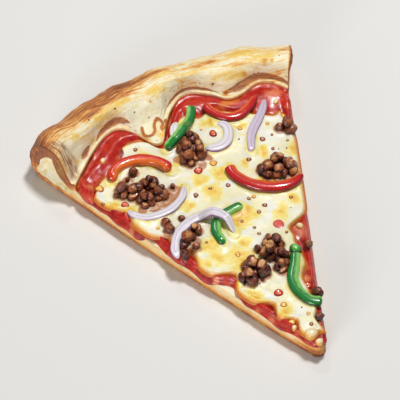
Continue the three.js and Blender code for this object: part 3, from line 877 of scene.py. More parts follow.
def roughen_dough(points, faces, dent):
    """Adds oven blisters and folds along the rim, and leaves the underside flat."""
    radius = np.hypot(points[:, 0], points[:, 1])
    degrees = np.degrees(np.arctan2(points[:, 0], points[:, 1]))
    on_rim = smoothstep(radius - lip_radius(degrees), 0.5, 4) * smoothstep(points[:, 2], 1, 6)
    along = np.stack([degrees * 0.5, radius, points[:, 2]], -1)
    lumps = 0.3 * wander(points, 10, 11) + 0.26 * wander(points, 4, 12)
    lumps += 0.1 * wander(points, 1.5, 13)
    creases = 0.2 * wander(along, 1.6, 14)
    shoulder = smoothstep(radius - rim_outside(degrees) + RIM_CREST_INSET, -6, 4)
    plump = 1 - np.exp(-(((degrees - 10) / 6.5) ** 2))
    plump = PLUMP * plump * smoothstep(degrees, -23, -19) * shoulder
    out = (lumps + creases + plump) * on_rim - dent
    return points + point_normals(points, faces) * out[:, None]


points = roughen_dough(points, faces, marks.pop("dent"))
finish_piece("crust", points, faces, marks, BAKED_DOUGH, "crust", ["dough"])
surfaces = [(points, faces)]

# %% [markdown]
# ## Where the toppings lie
#
# The cheese has to know what lies on it: it climbs a little at every topping, oil runs out beside
# the meat and painted contact shade hugs each crumb. So the places come first: strips along smooth
# paths, and heaps of crumbs that share out a few round lobes evenly, with a smaller layer on top.
# Dropping crumbs in a physics simulation would give real piles, but not these piles in these places.

# %% Paths of the strips
# Each strip: its path (x, y), its size, how long its ends taper, on which side its skin is, and
# over which places it climbs: (x, y, height).
RED_PEPPERS = [
    dict(path=[(-41, 129), (-37, 133.4), (-31, 134.9), (-24, 133.4), (-17.5, 128.8), (-13.6, 122)],
         width=5.5, height=4.6, ends=(3, 3), skin=1),
    dict(path=[(18.8, 149.4), (18.9, 144.4), (23.4, 137.4), (30, 135.4), (37, 138.2), (43, 142.4)],
         width=4.9, height=4.0, ends=(3, 10), skin=-1),
    dict(path=[(10.6, 110.6), (10.6, 104.6), (14.4, 97), (21, 91.2), (28, 88.4), (34, 88.6),
               (38.6, 90.6)],
         width=5.8, height=4.5, ends=(1.6, 12), skin=-1),
]
GREEN_PEPPERS = [
    dict(path=[(12.6, 151.6), (9.0, 145.6), (2.6, 139.6), (-4, 135.6), (-10, 133.8)],
         width=4.8, height=3.6, ends=(2.4, 1.6), skin=1, over=[(-1.2, 137.2, 2.9)]),
    dict(path=[(5.6, 88.4), (-1, 87.9), (-7.9, 86), (-12, 81), (-12.4, 72.6)],
         width=4.7, height=3.6, ends=(2.4, 2.8), skin=-1),
    dict(path=[(13.6, 52.8), (9.4, 46.4), (5.4, 40.4), (4.4, 33.6), (6.8, 26.6), (11, 23.6)],
         width=5.2, height=3.8, ends=(1.4, 1.6), skin=-1),
]
ONIONS = [
    dict(path=[(18.8, 136.8), (21.4, 133.4), (20.4, 128.8), (16.8, 124.8), (11.6, 123.8), (6.4, 126)],
         width=4.6, ends=(3, 3), purple=0.15),
    dict(path=[(45.6, 138.6), (40.4, 132.8), (33.6, 127.2), (28.2, 121.2), (24.6, 114)],
         width=4.3, ends=(8, 2.4), purple=0.8),
    dict(path=[(-12.3, 110.5), (-17, 105), (-26, 101.4), (-34.6, 102), (-40.4, 105.8), (-42.4, 110.2)],
         width=3.9, ends=(6, 6), purple=0.25),
    dict(path=[(-34.6, 75.4), (-33.2, 80.8), (-27.2, 87.8), (-18, 91.4), (-9.6, 89), (-5.4, 82.6),
               (-5, 76)],
         width=4.6, ends=(4, 9), over=[(-6.6, 86.2, 4.2)], purple=0.25),
    dict(path=[(-1.8, 134.4), (-2.6, 139), (-0.6, 143.4), (2.4, 145.8)],
         width=4.0, ends=(2, 4), purple=0.1),
]
ONION_HEIGHT = 2.7
STRIPS = RED_PEPPERS + GREEN_PEPPERS + ONIONS
STRIP_LINES = [(smooth_path(strip["path"])[0], strip["width"] / 2) for strip in STRIPS]


def distance_to_strips(flat):
    return np.min([distance_to_line(flat, line) - half for line, half in STRIP_LINES], axis=0)


print("strips:", len(RED_PEPPERS), "red,", len(GREEN_PEPPERS), "green and", len(ONIONS), "onion")

# %% Where the crumbs of beef lie
# Each heap: round lobes (x, y, radius) and the usual radius of its crumbs.
BEEF_HEAPS = [
    ([(2, 131.4, 5.0), (-2, 128.4, 4.4), (-3.4, 123.2, 4.2), (2.8, 123.6, 3.0)], 2.2),
    ([(-39.4, 120.8, 4.1), (-34.4, 117.4, 4.8), (-27.6, 118, 5.0), (-25.2, 111.8, 4.6),
      (-31.8, 111, 4.6)], 2.0),
    ([(26.4, 100.4, 5.2), (32, 102, 4.4), (35.4, 97.0, 4.2), (29.6, 96.6, 3.6)], 2.15),
    ([(43.2, 120, 2.2), (48.2, 120.8, 2.2), (47.4, 117, 2.5)], 2.1),
    ([(7.4, 62.4, 4.9), (3.6, 58.4, 4.3), (7, 54, 4.0), (4.4, 48.8, 3.5)], 2.0),
    ([(-7.6, 54.6, 4.6), (-4.8, 50.6, 3.4), (-11.4, 49.6, 3.4), (-13.6, 52, 1.9)], 2.5),
    ([(-20, 85.2, 2.6), (-24.2, 83.4, 2.8), (-28.2, 81.2, 2.3)], 1.95),
]
# Crumbs that lie alone: (x, y, radius).
LOOSE_CRUMBS = [
    (-29.7, 128.6, 2.1), (-17.4, 112.8, 1.4), (-0.4, 62.8, 1.6), (-30, 95.6, 2.0), (-30.8, 91, 2.4),
    (-22.4, 94.7, 1.3), (-24.5, 76.6, 1.9), (-30.9, 75.6, 2.6), (21.6, 54.6, 2.4),
    (12.0, 29.8, 2.7), (6.3, 17.6, 1.9), (-33.8, 126.4, 1.3), (-6.4, 47, 0.8),
]
print("heaps:", len(BEEF_HEAPS), "and loose crumbs:", len(LOOSE_CRUMBS))

# %% Packing the heaps
CRUMB_SINK = 0.8
SPOT_STEP = 0.35
LOWER_SHARE = 0.9
UPPER_SHARE = 0.6
LOWER_SWELL = 1.2
TOUCH = 0.84


def spots_within(lobes, share):
    """A fine grid of points inside the lobes, each shrunk to a share of its radius."""
    x, y, reach = np.array(lobes).T
    across = np.arange((x - reach).min(), (x + reach).max(), SPOT_STEP)
    along = np.arange((y - reach).min(), (y + reach).max(), SPOT_STEP)
    spots = np.stack(np.meshgrid(across, along), -1).reshape(-1, 2)
    away = np.hypot(spots[:, :1] - x, spots[:, 1:] - y)
    return spots[(away < reach * share).any(axis=1)]


def share_out(spots, size, rng):
    """Splits the spots into even cells of about one crumb each: centres and radii."""
    count = max(1, round(len(spots) * SPOT_STEP ** 2 / (np.pi * size ** 2)))
    centres = spots[rng.choice(len(spots), count, replace=False)]
    pull = rng.uniform(0.85, 1.15, count)
    for _ in range(25):
        owner = (np.linalg.norm(spots[:, None] - centres, axis=2) / pull).argmin(1)
        centres = np.array([spots[owner == i].mean(0) for i in range(count)])
    cell = np.bincount(owner, minlength=count) * SPOT_STEP ** 2
    return centres, np.sqrt(cell / np.pi)


def pack_heap(lobes, size, seed):
    """Crumbs as (x, y, z, radius): a full lower layer and a smaller one that rests on it."""
    rng = np.random.default_rng(seed)
    centres, radii = share_out(spots_within(lobes, LOWER_SHARE), size, rng)
    radii = radii * LOWER_SWELL
    lower = np.column_stack([centres, CHEESE_TOP - CRUMB_SINK + 0.85 * radii, radii])
    centres, radii = share_out(spots_within(lobes, UPPER_SHARE), size, rng)
    touch = TOUCH * (radii[:, None] + lower[:, 3])
    away = np.linalg.norm(centres[:, None] - lower[:, :2], axis=2)
    rest = lower[:, 2] + np.sqrt(np.clip(touch ** 2 - away ** 2, 0, None))
    upper = np.column_stack([centres, rest.max(1), radii])
    return np.concatenate([lower, upper])


heaps = [pack_heap(lobes, size, seed=40 + i) for i, (lobes, size) in enumerate(BEEF_HEAPS)]
CRUMB_DISCS = np.concatenate([heap[:, [0, 1, 3]] for heap in heaps] + [LOOSE_CRUMBS])


def distance_to_meat(flat):
    to_meat = np.full(len(flat), 99.0)
    for x, y, radius in CRUMB_DISCS:
        to_meat = np.minimum(to_meat, np.hypot(flat[:, 0] - x, flat[:, 1] - y) - radius)
    return to_meat


print("crumbs in the heaps:", [len(heap) for heap in heaps])

# %% [markdown]
# ## Tomato sauce
#
# The sauce was spread over the base and squeezed out where the cheese ends: as a thick glossy
# rope beside the lip, and as drips over the left cut. It is one block again. Its side walls
# bulge outwards and hang down where a drip is, which a flat slab could not do.

# %% The sauce's finish
def sauce_finish():
    f = Finish(
        "tomato_sauce", Coat_Weight=0.14, Coat_Roughness=0.14,
        Subsurface_Weight=0.05, Subsurface_Scale=0.002, Subsurface_Radius=(1.0, 0.2, 0.1),
    )
    pulp = f.noise(0.3, 5, 0.6)
    fine = f.noise(1.1, 4, 0.6)
    # The ridge mark paints the rope and beads a little lighter where they stand highest: painted light.
    red = f.ramp(f.weighted((pulp, 0.9), (fine, 0.3), (f.mark("ridge"), 0.10), -0.15), [
        (0.28, (0.18, 0.002, 0.003)), (0.46, (0.44, 0.009, 0.008)), (0.64, (0.58, 0.026, 0.013)),
        (0.86, (0.72, 0.10, 0.04)),
    ])
    thin = f.step(f.weighted((f.mark("thin"), 1.0), (pulp, 0.6), (fine, 0.3), -0.45), 0.35, 1.0)
    pale = f.blend(f.mark("coral"), (0.74, 0.22, 0.045), (0.80, 0.24, 0.15))
    f.colour(f.blend(thin, red, pale))
    f.roughness(f.between(fine, 0.22, 0.42))
    f.bump(f.weighted((pulp, 1.0), (fine, 0.15), 0.0), 0.5, 0.3)
    return f.done()


TOMATO_SAUCE = sauce_finish()

# %% Drips, ridge and thin places of the sauce
drip_left = bumps([
    (12, 1.4, 4), (27, 2.6, 5), (45, 1.4, 4), (69, 3.6, 6), (85, 2.0, 5), (109, 4.0, 5.5),
    (120, 2.2, 5), (131, 1.4, 4), (139, 1.6, 4),
])
drip_right = bumps([(24, 1.2, 6), (52, 1.8, 7), (76, 0.8, 5), (104, 1.0, 7), (134, 2.2, 8)])
# Places where the sauce is thin and pale: (x, y, half width, half depth, how pink).
THIN_SAUCE = [
    (30, 146.5, 9, 3.4, 0.0), (23.2, 65.6, 4.4, 7, 1.0), (51, 141, 6, 5, 0.9),
    (-51, 131, 2.5, 3, 0.3), (15.4, 47, 1.8, 5, 0.7), (12.2, 40, 2.2, 4, 0.6),
    (-15.6, 34, 1.8, 3.6, 0.5), (-12.4, 27.4, 1.6, 3.0, 0.5), (-43.4, 103, 1.6, 3.0, 0.5),
    (-24, 58, 1.8, 2.6, 0.5),
]


def sauce_band(radius, end, bare, degrees):
    """The open sauce between cheese and lip: the share of the way across, ridge and folds."""
    in_band = np.clip((radius - bare) / np.maximum(end - bare, 0.5), 0, 1)
    band = np.clip((end - bare) / 8, 0, 1.2)
    shoulder = 0.55 * smoothstep(in_band, 0.5, 0.8)
    ridge = np.maximum(np.sin(np.pi * in_band) ** 0.8, shoulder) * band
    folds = np.sin(in_band * 11 + degrees * 0.35 + 1) * band * (in_band > 0) * (in_band < 1)
    return in_band, ridge, folds


def thin_places(flat, radius, bare, in_band, near, w):
    """Where the sauce is thin enough to look orange, and how pink it is there."""
    thin = 0.5 * np.exp(-near / 0.5) * smoothstep(w, 0.5, 1) + 0.75 * smoothstep(in_band, 0.9, 1.0)
    beside_cheese = np.maximum(thin, 0.6 * smoothstep(in_band, 0.3, 0.05))
    thin = np.where(radius > bare, beside_cheese, thin)
    coral = np.zeros_like(radius)
    for x, y, wide, deep, pink in THIN_SAUCE:
        spot = np.exp(-(((flat[:, 0] - x) / wide) ** 2) - ((flat[:, 1] - y) / deep) ** 2)
        thin = np.maximum(thin, 0.95 * spot)
        coral = np.maximum(coral, spot * pink)
    return np.clip(thin, 0, 1), coral


along_cut = np.arange(10, 150, 1.0)
print("longest drip over the left cut:", drip_left(along_cut).max().round(1), "mm")

# %% The sauce as one closed block
SAUCE_COUNTS = (200, 130, 12)
SAUCE_UNDER_LIP = 0.3
RIDGE_HEIGHT = 2.0
SIDE_BEAD = 0.75
RIGHT_BEAD_SHARE = 0.3


def place_sauce(u, v, w):
    across = 2 * v - 1
    degrees = across * END_DEGREES
    end, bare = lip_radius(degrees) + SAUCE_UNDER_LIP, cheese_radius(degrees)
    radius = mix(TIP_START + 0.5, end, u ** 0.85)
    left, right = lay_back_sauce_left(radius), lay_back_sauce_right(radius)
    on_left = across < 0
    inset = np.where(on_left, left, right)
    drip = np.where(on_left, drip_left(radius), drip_right(radius)) * smoothstep(inset, 1.8, 0.2)
    bite = np.where(on_left, lay_back_cheese_left(radius), lay_back_cheese_right(radius))
    full = smoothstep(bite, -0.5, 3.0)
    angle = angle_between(radius, across, left - 0.1, right - 0.1)
    near = np.clip((half_angle(radius) - np.abs(angle)) * radius - inset, 0, None)
    flat = on_slice(radius, angle, 0 * radius)

    in_band, ridge, folds = sauce_band(radius, end, bare, degrees)
    bead = (0.5 + 1.3 * full) * np.exp(-(((near - 1.7) / 1.5) ** 2))
    height = SAUCE_TOP + RIDGE_HEIGHT * ridge + 0.3 * folds + bead
    height = height + 0.3 * wander(flat, 4, 21) + 0.12 * wander(flat, 1.8, 22)
    under_strip = smoothstep(distance_to_strips(flat[:, :2]), 1.2, -0.6)
    height = mix(height, np.maximum(height, CHEESE_TOP - 0.5), under_strip)
    high = height - (0.9 + 0.4 * full) * np.exp(-near / 0.55)

    wall = (v == 0) | (v == 1)
    low = BASE_TOP - 0.2 - np.where(wall, drip, 0)
    belly = np.sqrt(np.clip(1 - (2 * w - 1) ** 2, 0, 1)) * np.where(on_left, 1, RIGHT_BEAD_SHARE)
    bulge = (SIDE_BEAD * (0.5 + 0.6 * full) + 0.16 * drip) * belly * wall
    points = on_slice(radius, angle + np.sign(across) * bulge / radius, mix(low, high, w))
    thin, coral = thin_places(flat, radius, bare, in_band, near, w)
    # ridge: how high the rope and beads stand; the finish paints them lighter there as painted light.
    return points, {"thin": thin, "ridge": ridge + 0.5 * bead, "coral": coral}


points, faces, marks = block(SAUCE_COUNTS, place_sauce)
finish_piece("tomato_sauce", points, faces, marks, TOMATO_SAUCE, "tomato_sauce", ["sauce"])
surfaces.append((points, faces))

# %% [markdown]
# ## Melted cheese
#
# The cheese is a thin sheet with a rolled, golden edge. It sags between the toppings, climbs
# at them, and carries blisters. The painted marks are distances: to the edge, to the meat and
# to the strips. With those the material knows where it is thin, oily or toasted, and where it
# gets painted contact shade right beside the meat.

# %% The cheese's finish
def cheese_finish():
    f = Finish(
        "melted_cheese", Coat_Weight=0.15, Coat_Roughness=0.2,
        Subsurface_Weight=0.15, Subsurface_Scale=0.003, Subsurface_Radius=(1.0, 0.75, 0.35),
    )
    broad = f.noise(0.1, 4, 0.6)
    brush = f.noise(0.45, 5, 0.65)
    fine = f.noise(1.2, 4, 0.6)
    cream = f.blend(f.step(broad, 0.42, 0.62), (0.90, 0.84, 0.54), (0.88, 0.86, 0.75))
    warmth = f.weighted((f.mark("gold"), 0.62), (broad, -0.5), (brush, 0.8), (fine, 0.25), -0.08)
    yellow = f.ramp(warmth, [
        (0.34, (0.90, 0.84, 0.42)), (0.54, (0.91, 0.74, 0.19)), (0.76, (0.89, 0.58, 0.07)),
        (1.0, (0.76, 0.31, 0.035)),
    ])
    base = f.blend(f.step(warmth, 0.30, 0.44), cream, yellow)
    rim = f.step(f.weighted((f.mark("edge"), 1.0), (brush, 0.5), -0.25), 0.28, 0.8)
    base = f.blend(rim, base, f.ramp(f.mark("edge"), [
        (0.3, (0.90, 0.62, 0.15)), (0.7, (0.80, 0.36, 0.045)), (1.0, (0.62, 0.17, 0.02)),
    ]))
    # Real oil stains and painted contact shade right beside the meat, in one brown.
    oil = f.step(f.weighted((f.mark("oil"), 1.0), (brush, 0.6), -0.3), 0.12, 0.75)
    base = f.blend(f.math("MULTIPLY", oil, 0.88), base, (0.50, 0.165, 0.045))
    f.colour(base)
    f.roughness(f.between(fine, 0.28, 0.5))
    f.bump(f.weighted((brush, 1.0), (fine, 0.3), 0.0), 0.5, 0.5)
    return f.done()


MELTED_CHEESE = cheese_finish()

# %% Golden patches and stains
# Golden patches: (x, y, reach).
GOLD_ON_CHEESE = [
    (-2.5, 103, 4), (1, 83, 5), (6, 84, 3.5), (19.5, 77, 4), (28, 81, 2.5), (-10, 65, 4),
    (-8.5, 60, 5), (-13.5, 41, 3.5), (-5, 26, 3), (30, 111.5, 2.4), (27, 130, 2.2), (20, 110, 2),
    (6, 110, 3.4), (-4, 111, 3), (-17, 101, 3), (-17, 75, 4.5), (-17.5, 68, 4), (-52, 125, 2.4),
    (-48, 116, 2.5), (-41, 109.5, 3), (-21, 134, 2.5), (-8, 126, 2.5), (42.5, 106, 3),
    (-4, 69, 2.5), (-12, 37.5, 2.5), (-18, 51, 2.5), (-25, 68, 2.5), (23.5, 96, 2.4),
    (15, 140, 2.6), (5, 143, 2.4),
]
# Stains of brown oil beside the meat: (x, y, reach).
OIL_STAINS = [
    (-18.6, 110.8, 4.2), (-20.6, 107.6, 3.4), (-25, 106.4, 3.2), (-30, 106, 3.0), (-35, 107.6, 2.6),
    (-34.4, 126.2, 3.4), (-37.8, 124.6, 2.6), (0.6, 118.2, 2.4), (5.2, 120.4, 2.0),
    (-8.4, 127, 2.0), (-23.4, 79.8, 3.2), (-28.4, 76.6, 2.6), (-22.6, 87.6, 2.6), (36.8, 92.8, 2.2),
]
GOLD_REACH = 1.25


def cheese_marks(flat, to_edge, to_strips, to_meat):
    """Nearness of the edge, brown oil stains with painted contact shade hugging every crumb of meat,
    and gold in patches and beside strips.
    """
    warped = flat + 2.2 * np.stack([wander(flat, 5, 35), wander(flat, 5, 36), 0 * to_edge], -1)
    gold = 0.45 * np.exp(-np.clip(to_strips, 0, None) / 1.2)
    for x, y, reach in GOLD_ON_CHEESE:
        away = np.hypot(warped[:, 0] - x, warped[:, 1] - y) / (reach * GOLD_REACH)
        gold = np.maximum(gold, np.exp(-(away ** 2)))
    # Painted contact shade: a brown halo that hugs every crumb of meat.
    oil = np.exp(-np.clip(to_meat, 0, None) / 0.8)
    halfway = (warped + flat) / 2
    for x, y, reach in OIL_STAINS:
        away = np.hypot(halfway[:, 0] - x, halfway[:, 1] - y) / reach
        oil = np.maximum(oil, 1.1 * np.exp(-(away ** 4)))
    return {"edge": np.exp(-to_edge / 1.9), "oil": oil, "gold": gold}


print("golden patches:", len(GOLD_ON_CHEESE), "and oil stains:", len(OIL_STAINS))

# %% Heights of the cheese
CHEESE_START = TIP_START + 5
CHEESE_INSET = 0.2


def distance_to_cheese_edge(radius, angle):
    degrees = np.degrees(angle)
    limit = half_angle(radius)
    to_left = (angle + limit) * radius - lay_back_cheese_left(radius) - CHEESE_INSET
    to_right = (limit - angle) * radius - lay_back_cheese_right(radius) - CHEESE_INSET
    to_end = (cheese_radius(degrees) - radius) * 0.85
    nearest = np.minimum(np.minimum(to_left, to_right), np.minimum(to_end, radius - CHEESE_START))
    return np.clip(nearest, 0, None)


def cheese_height(flat, to_edge, to_toppings):
    """Height of the upper side: a sagging sheet with a rolled edge that climbs at toppings."""
    full = 1 - (1 - np.clip(to_edge / 3.0, 0, 1)) ** 2
    roll = 0.45 * np.exp(-(((to_edge - 1.5) / 1.0) ** 2))
    sag = 0.5 * wander(flat, 15, 31) + 0.3 * wander(flat, 6, 32) + 0.12 * wander(flat, 2.4, 33)
    climb = 0.8 * np.exp(-np.clip(to_toppings, 0, None) / 1.0)
    return SAUCE_TOP + mix(0.9, CHEESE_TOP - SAUCE_TOP - 0.1 + sag, full) + roll + climb * full


print("the cheese starts", round(CHEESE_START, 1), "mm from the pizza's middle")

# %% The cheese as one closed block
CHEESE_COUNTS = (240, 180, 7)
CHEESE_COLUMNS_AT = 140.0
CHEESE_END_DEGREES = math.degrees(half_angle(CHEESE_COLUMNS_AT))
CHEESE_BELLY = 0.6
CHEESE_FOOT = SAUCE_TOP - 0.3


def place_cheese(u, v, w):
    across = 2 * v - 1
    radius = mix(CHEESE_START, cheese_radius(across * CHEESE_END_DEGREES), u)
    left = lay_back_cheese_left(radius) + CHEESE_INSET
    right = lay_back_cheese_right(radius) + CHEESE_INSET
    angle = angle_between(radius, across, left, right)
    to_edge = distance_to_cheese_edge(radius, angle)
    flat = on_slice(radius, angle, 0 * radius)
    to_strips, to_meat = distance_to_strips(flat[:, :2]), distance_to_meat(flat[:, :2])
    top = cheese_height(flat, to_edge, np.minimum(to_strips, to_meat))
    belly = CHEESE_BELLY * np.sqrt(np.clip(1 - (2 * w - 1) ** 2, 0, 1))
    side = np.where((v == 0) | (v == 1), np.sign(across) * belly, 0)
    ahead = np.where(u == 1, belly, np.where(u == 0, -belly, 0))
    points = on_slice(radius + ahead, angle + side / radius, mix(CHEESE_FOOT, top, w))
    return points, cheese_marks(flat, to_edge, to_strips, to_meat)


points, faces, marks = block(CHEESE_COUNTS, place_cheese)
finish_piece("melted_cheese", points, faces, marks, MELTED_CHEESE, "melted_cheese", ["cheese"])
surfaces.append((points, faces))

# %% [markdown]
# What is laid on top later has to touch what is really under it. So we drop a plumb line onto
# the finished crust, sauce and cheese, and read the height where it lands.

# %% The height under a place
TREES = [BVHTree.FromPolygons(points.tolist(), faces.tolist()) for points, faces in surfaces]


def surface_at(x, y):
    hits = [tree.ray_cast((x, y, 60), (0, 0, -1))[0] for tree in TREES]
    return max(hit.z for hit in hits if hit is not None)


loose = np.array([(x, y, surface_at(x, y) - 0.4 + 0.8 * r, r) for x, y, r in LOOSE_CRUMBS])
print("loose crumbs rest at", loose[:, 2].round(1), "mm")

# %% [markdown]
# ## Strips of pepper and onion
#
# A strip is a section swept along its path. The section shrinks in a round at both ends, so
# the strip closes smoothly, and it is a little uneven, as cut and baked vegetables are. The
# side mark runs from -1 on the left of the path to 1 on its right: pepper skin is dark on
# one side and pale flesh on the other, and onion has purple edges.

# %% The course of a strip
ROWS_PER_MM = 3.5
FEWEST_ROWS = 60


def strip_course(strip):
    """Along a strip: distance, middle line, direction aside, share of its full size, lift."""
    line, length = smooth_path(strip["path"])
    total = length[-1]
    even = np.linspace(0, 1, max(FEWEST_ROWS, int(total * ROWS_PER_MM)))
    part = 0.45 * even + 0.55 * (1 - np.cos(np.pi * even)) / 2
    along = part * total
    middle = np.stack([np.interp(along, length, line[:, i]) for i in (0, 1)], -1)
    ahead = np.gradient(middle, along, axis=0)
    ahead /= np.linalg.norm(ahead, axis=1, keepdims=True)
    aside = np.stack([-ahead[:, 1], ahead[:, 0]], -1)
    first_taper, last_taper = strip["ends"]
    short = np.minimum(np.minimum(along / first_taper, (total - along) / last_taper), 1)
    short = short * 0.985 + 0.015
    size = np.sqrt(1 - (1 - short) ** 2)
    lift = np.zeros(len(along))
    for x, y, height in strip.get("over", ()):
        away = np.hypot(middle[:, 0] - x, middle[:, 1] - y)
        lift = np.maximum(lift, height * (1 - smoothstep(away, 3, 11)))
    return along, middle, aside, size, lift


print("lengths in mm:", [strip_course(strip)[0][-1].round(1) for strip in STRIPS])

# %% Sweep a strip
STRIP_SIDES = 36
STRIP_SINK = 0.75


def tube_triangles(rows):
    """Triangles of a tube in rows of points, closed by one more point at each end."""
    number = np.arange(rows * STRIP_SIDES).reshape(rows, STRIP_SIDES)
    after = np.roll(number, -1, axis=1)
    quads = np.stack([number[:-1], after[:-1], after[1:], number[1:]], -1).reshape(-1, 4)
    first, last = np.full(STRIP_SIDES, number.size), np.full(STRIP_SIDES, number.size + 1)
    first_fan = np.stack([after[0], number[0], first], -1)
    last_fan = np.stack([number[-1], after[-1], last], -1)
    return np.concatenate([quads[:, [0, 1, 2]], quads[:, [0, 2, 3]], first_fan, last_fan])


def sweep_strip(strip, height, seed, groove=0.0, square=2.3, swell=0.0):
    """Points, triangles and marks of a strip."""
    along, middle, aside, size, lift = strip_course(strip)
    turn = np.linspace(0, 2 * np.pi, STRIP_SIDES, endpoint=False)
    round_out = np.sign(np.cos(turn)) * np.abs(np.cos(turn)) ** (2 / square)
    round_up = np.sign(np.sin(turn)) * np.abs(np.sin(turn)) ** (2 / square)
    probe = np.stack([along, np.full_like(along, seed), 0 * along], -1)
    belly = swell * (np.sin(np.pi * along / along[-1]) - 0.7)
    uneven = 1 + 0.07 * wander(probe, 5, 61) + belly
    sway = 0.25 * wander(probe, 7, 62)
    side = np.broadcast_to(round_out, (len(along), STRIP_SIDES))
    up = round_up - groove * np.exp(-(((side - 0.15) / 0.16) ** 2)) * (round_up > 0)
    out = (strip["width"] / 2) * (size * uneven)[:, None] * side
    z = CHEESE_TOP - STRIP_SINK + (height / 2) * (1 + size[:, None] * up) + lift[:, None]
    xy = middle[:, None] + aside[:, None] * (out + sway[:, None])[..., None]
    rings = np.concatenate([xy, z[..., None]], -1)
    points = np.concatenate([rings.reshape(-1, 3), [rings[0].mean(0), rings[-1].mean(0)]])
    marks = {
        "side": np.concatenate([-side.ravel(), [0, 0]]),
        "up": np.concatenate([np.broadcast_to(up, side.shape).ravel(), [0, 0]]),
        "tip": np.concatenate([np.repeat(1 - size, STRIP_SIDES), [1, 1]]),
    }
    return points, tube_triangles(len(along)), marks


print("a strip has", STRIP_SIDES, "points round its section")

# %% [markdown]
# Pepper skin is smooth and wet, so it shows sharp highlights over a saturated colour, while
# the flesh on the inner side is paler. The dark outline that such strips seem to have is the
# skin turning away from the light, deepened here with the side mark.

# %% Red pepper
def pepper_finish(name, deep, skin, flesh, skin_side):
    f = Finish(
        name, Coat_Weight=0.5, Coat_Roughness=0.08,
        Subsurface_Weight=0.08, Subsurface_Scale=0.002, Subsurface_Radius=(1.0, 0.4, 0.2),
    )
    mottle = f.noise(0.4, 4)
    towards = f.math("MULTIPLY", f.mark("side"), -float(skin_side))
    edge = f.step(f.math("ABSOLUTE", towards), 0.86, 1.0)
    amount = f.weighted((towards, 0.36), (mottle, 0.3), (f.mark("tip"), 0.35), (edge, 0.22), 0.3)
    f.colour(f.ramp(amount, [(0.30, flesh), (0.44, skin), (0.68, skin), (0.92, deep)]))
    f.roughness(f.between(mottle, 0.14, 0.32))
    f.bump(f.weighted((mottle, 1.0), (f.noise(1.2, 3), 0.15), 0.0), 0.3, 0.5)
    return f.done()


RED = dict(deep=(0.20, 0.004, 0.006), skin=(0.56, 0.014, 0.014), flesh=(0.80, 0.115, 0.025))
ORANGE_RED = dict(deep=(0.34, 0.010, 0.008), skin=(0.66, 0.035, 0.012), flesh=(0.86, 0.165, 0.022))
for i, strip in enumerate(RED_PEPPERS):
    colours = ORANGE_RED if i == 0 else RED
    finish = pepper_finish(f"red_pepper_skin_{i + 1}", skin_side=strip["skin"], **colours)
    shape = sweep_strip(strip, strip["height"], seed=i)
    finish_piece(f"red_pepper_strip_{i + 1}", *shape, finish, "red_pepper", [f"red_pepper_{i + 1}"])

# %% Green pepper
GREEN = dict(deep=(0.003, 0.055, 0.012), skin=(0.012, 0.21, 0.034), flesh=(0.26, 0.62, 0.14))
for i, strip in enumerate(GREEN_PEPPERS):
    finish = pepper_finish(f"green_pepper_skin_{i + 1}", skin_side=strip["skin"], **GREEN)
    shape = sweep_strip(strip, strip["height"], seed=9 + i)
    name, node = f"green_pepper_strip_{i + 1}", f"green_pepper_{i + 1}"
    finish_piece(name, *shape, finish, "green_pepper", [node])

# %% [markdown]
# Red onion is a stack of clear white layers with a purple skin. A shallow groove along the
# strip shows where two layers meet.

# %% Onion
def onion_finish(name, purple):
    f = Finish(
        name, Coat_Weight=0.25, Coat_Roughness=0.15,
        Subsurface_Weight=0.2, Subsurface_Scale=0.003, Subsurface_Radius=(1.0, 0.9, 1.0),
    )
    fibres = f.noise(0.35, 4)
    side = f.math("ABSOLUTE", f.mark("side"))
    edge = f.step(f.weighted((side, 1.0), (fibres, 0.2), -0.1), 0.84, 1.0)
    seam = f.step(f.math("ABSOLUTE", f.math("ADD", f.mark("side"), 0.15)), 0.13, 0.03)
    stain = f.math("MAXIMUM", edge, f.math("MULTIPLY", seam, 0.5))
    white = f.blend(f.between(fibres, 0.6 * purple, purple), (0.80, 0.77, 0.79), (0.52, 0.38, 0.56))
    f.colour(f.blend(stain, white, (0.30, 0.13, 0.31)))
    f.roughness(f.between(fibres, 0.2, 0.4))
    f.bump(fibres, 0.2, 0.4)
    return f.done()


for i, strip in enumerate(ONIONS):
    finish = onion_finish(f"onion_layers_{i + 1}", strip["purple"])
    shape = sweep_strip(strip, ONION_HEIGHT, seed=20 + i, groove=0.2, square=2.9, swell=0.25)
    finish_piece(f"onion_slice_{i + 1}", *shape, finish, "onion", [f"onion_{i + 1}"])

# %% [markdown]
# ## Ground beef
#
# Fried mince falls apart into rounded crumbs. Each starts as a fine ball that is pressed flat
# in a few places, stretched, and roughened with noise. Merging the crumbs of a heap into one
# mesh keeps the number of pieces low; a tone mark still gives each crumb its own brown. Painted
# light and shade come on top: lighter tops and upward flat faces, darker low parts and gaps.

# %% One crumb
def ball(subdivisions=4):
    mesh = bmesh.new()
    bmesh.ops.create_icosphere(mesh, subdivisions=subdivisions, radius=1)
    mesh.verts.ensure_lookup_table()
    points = np.array([vertex.co[:] for vertex in mesh.verts])
    faces = np.array([[vertex.index for vertex in face.verts] for face in mesh.faces])
    mesh.free()
    return points, faces


BALL_POINTS, BALL_FACES = ball()
CUTS_OF_A_CRUMB = 9


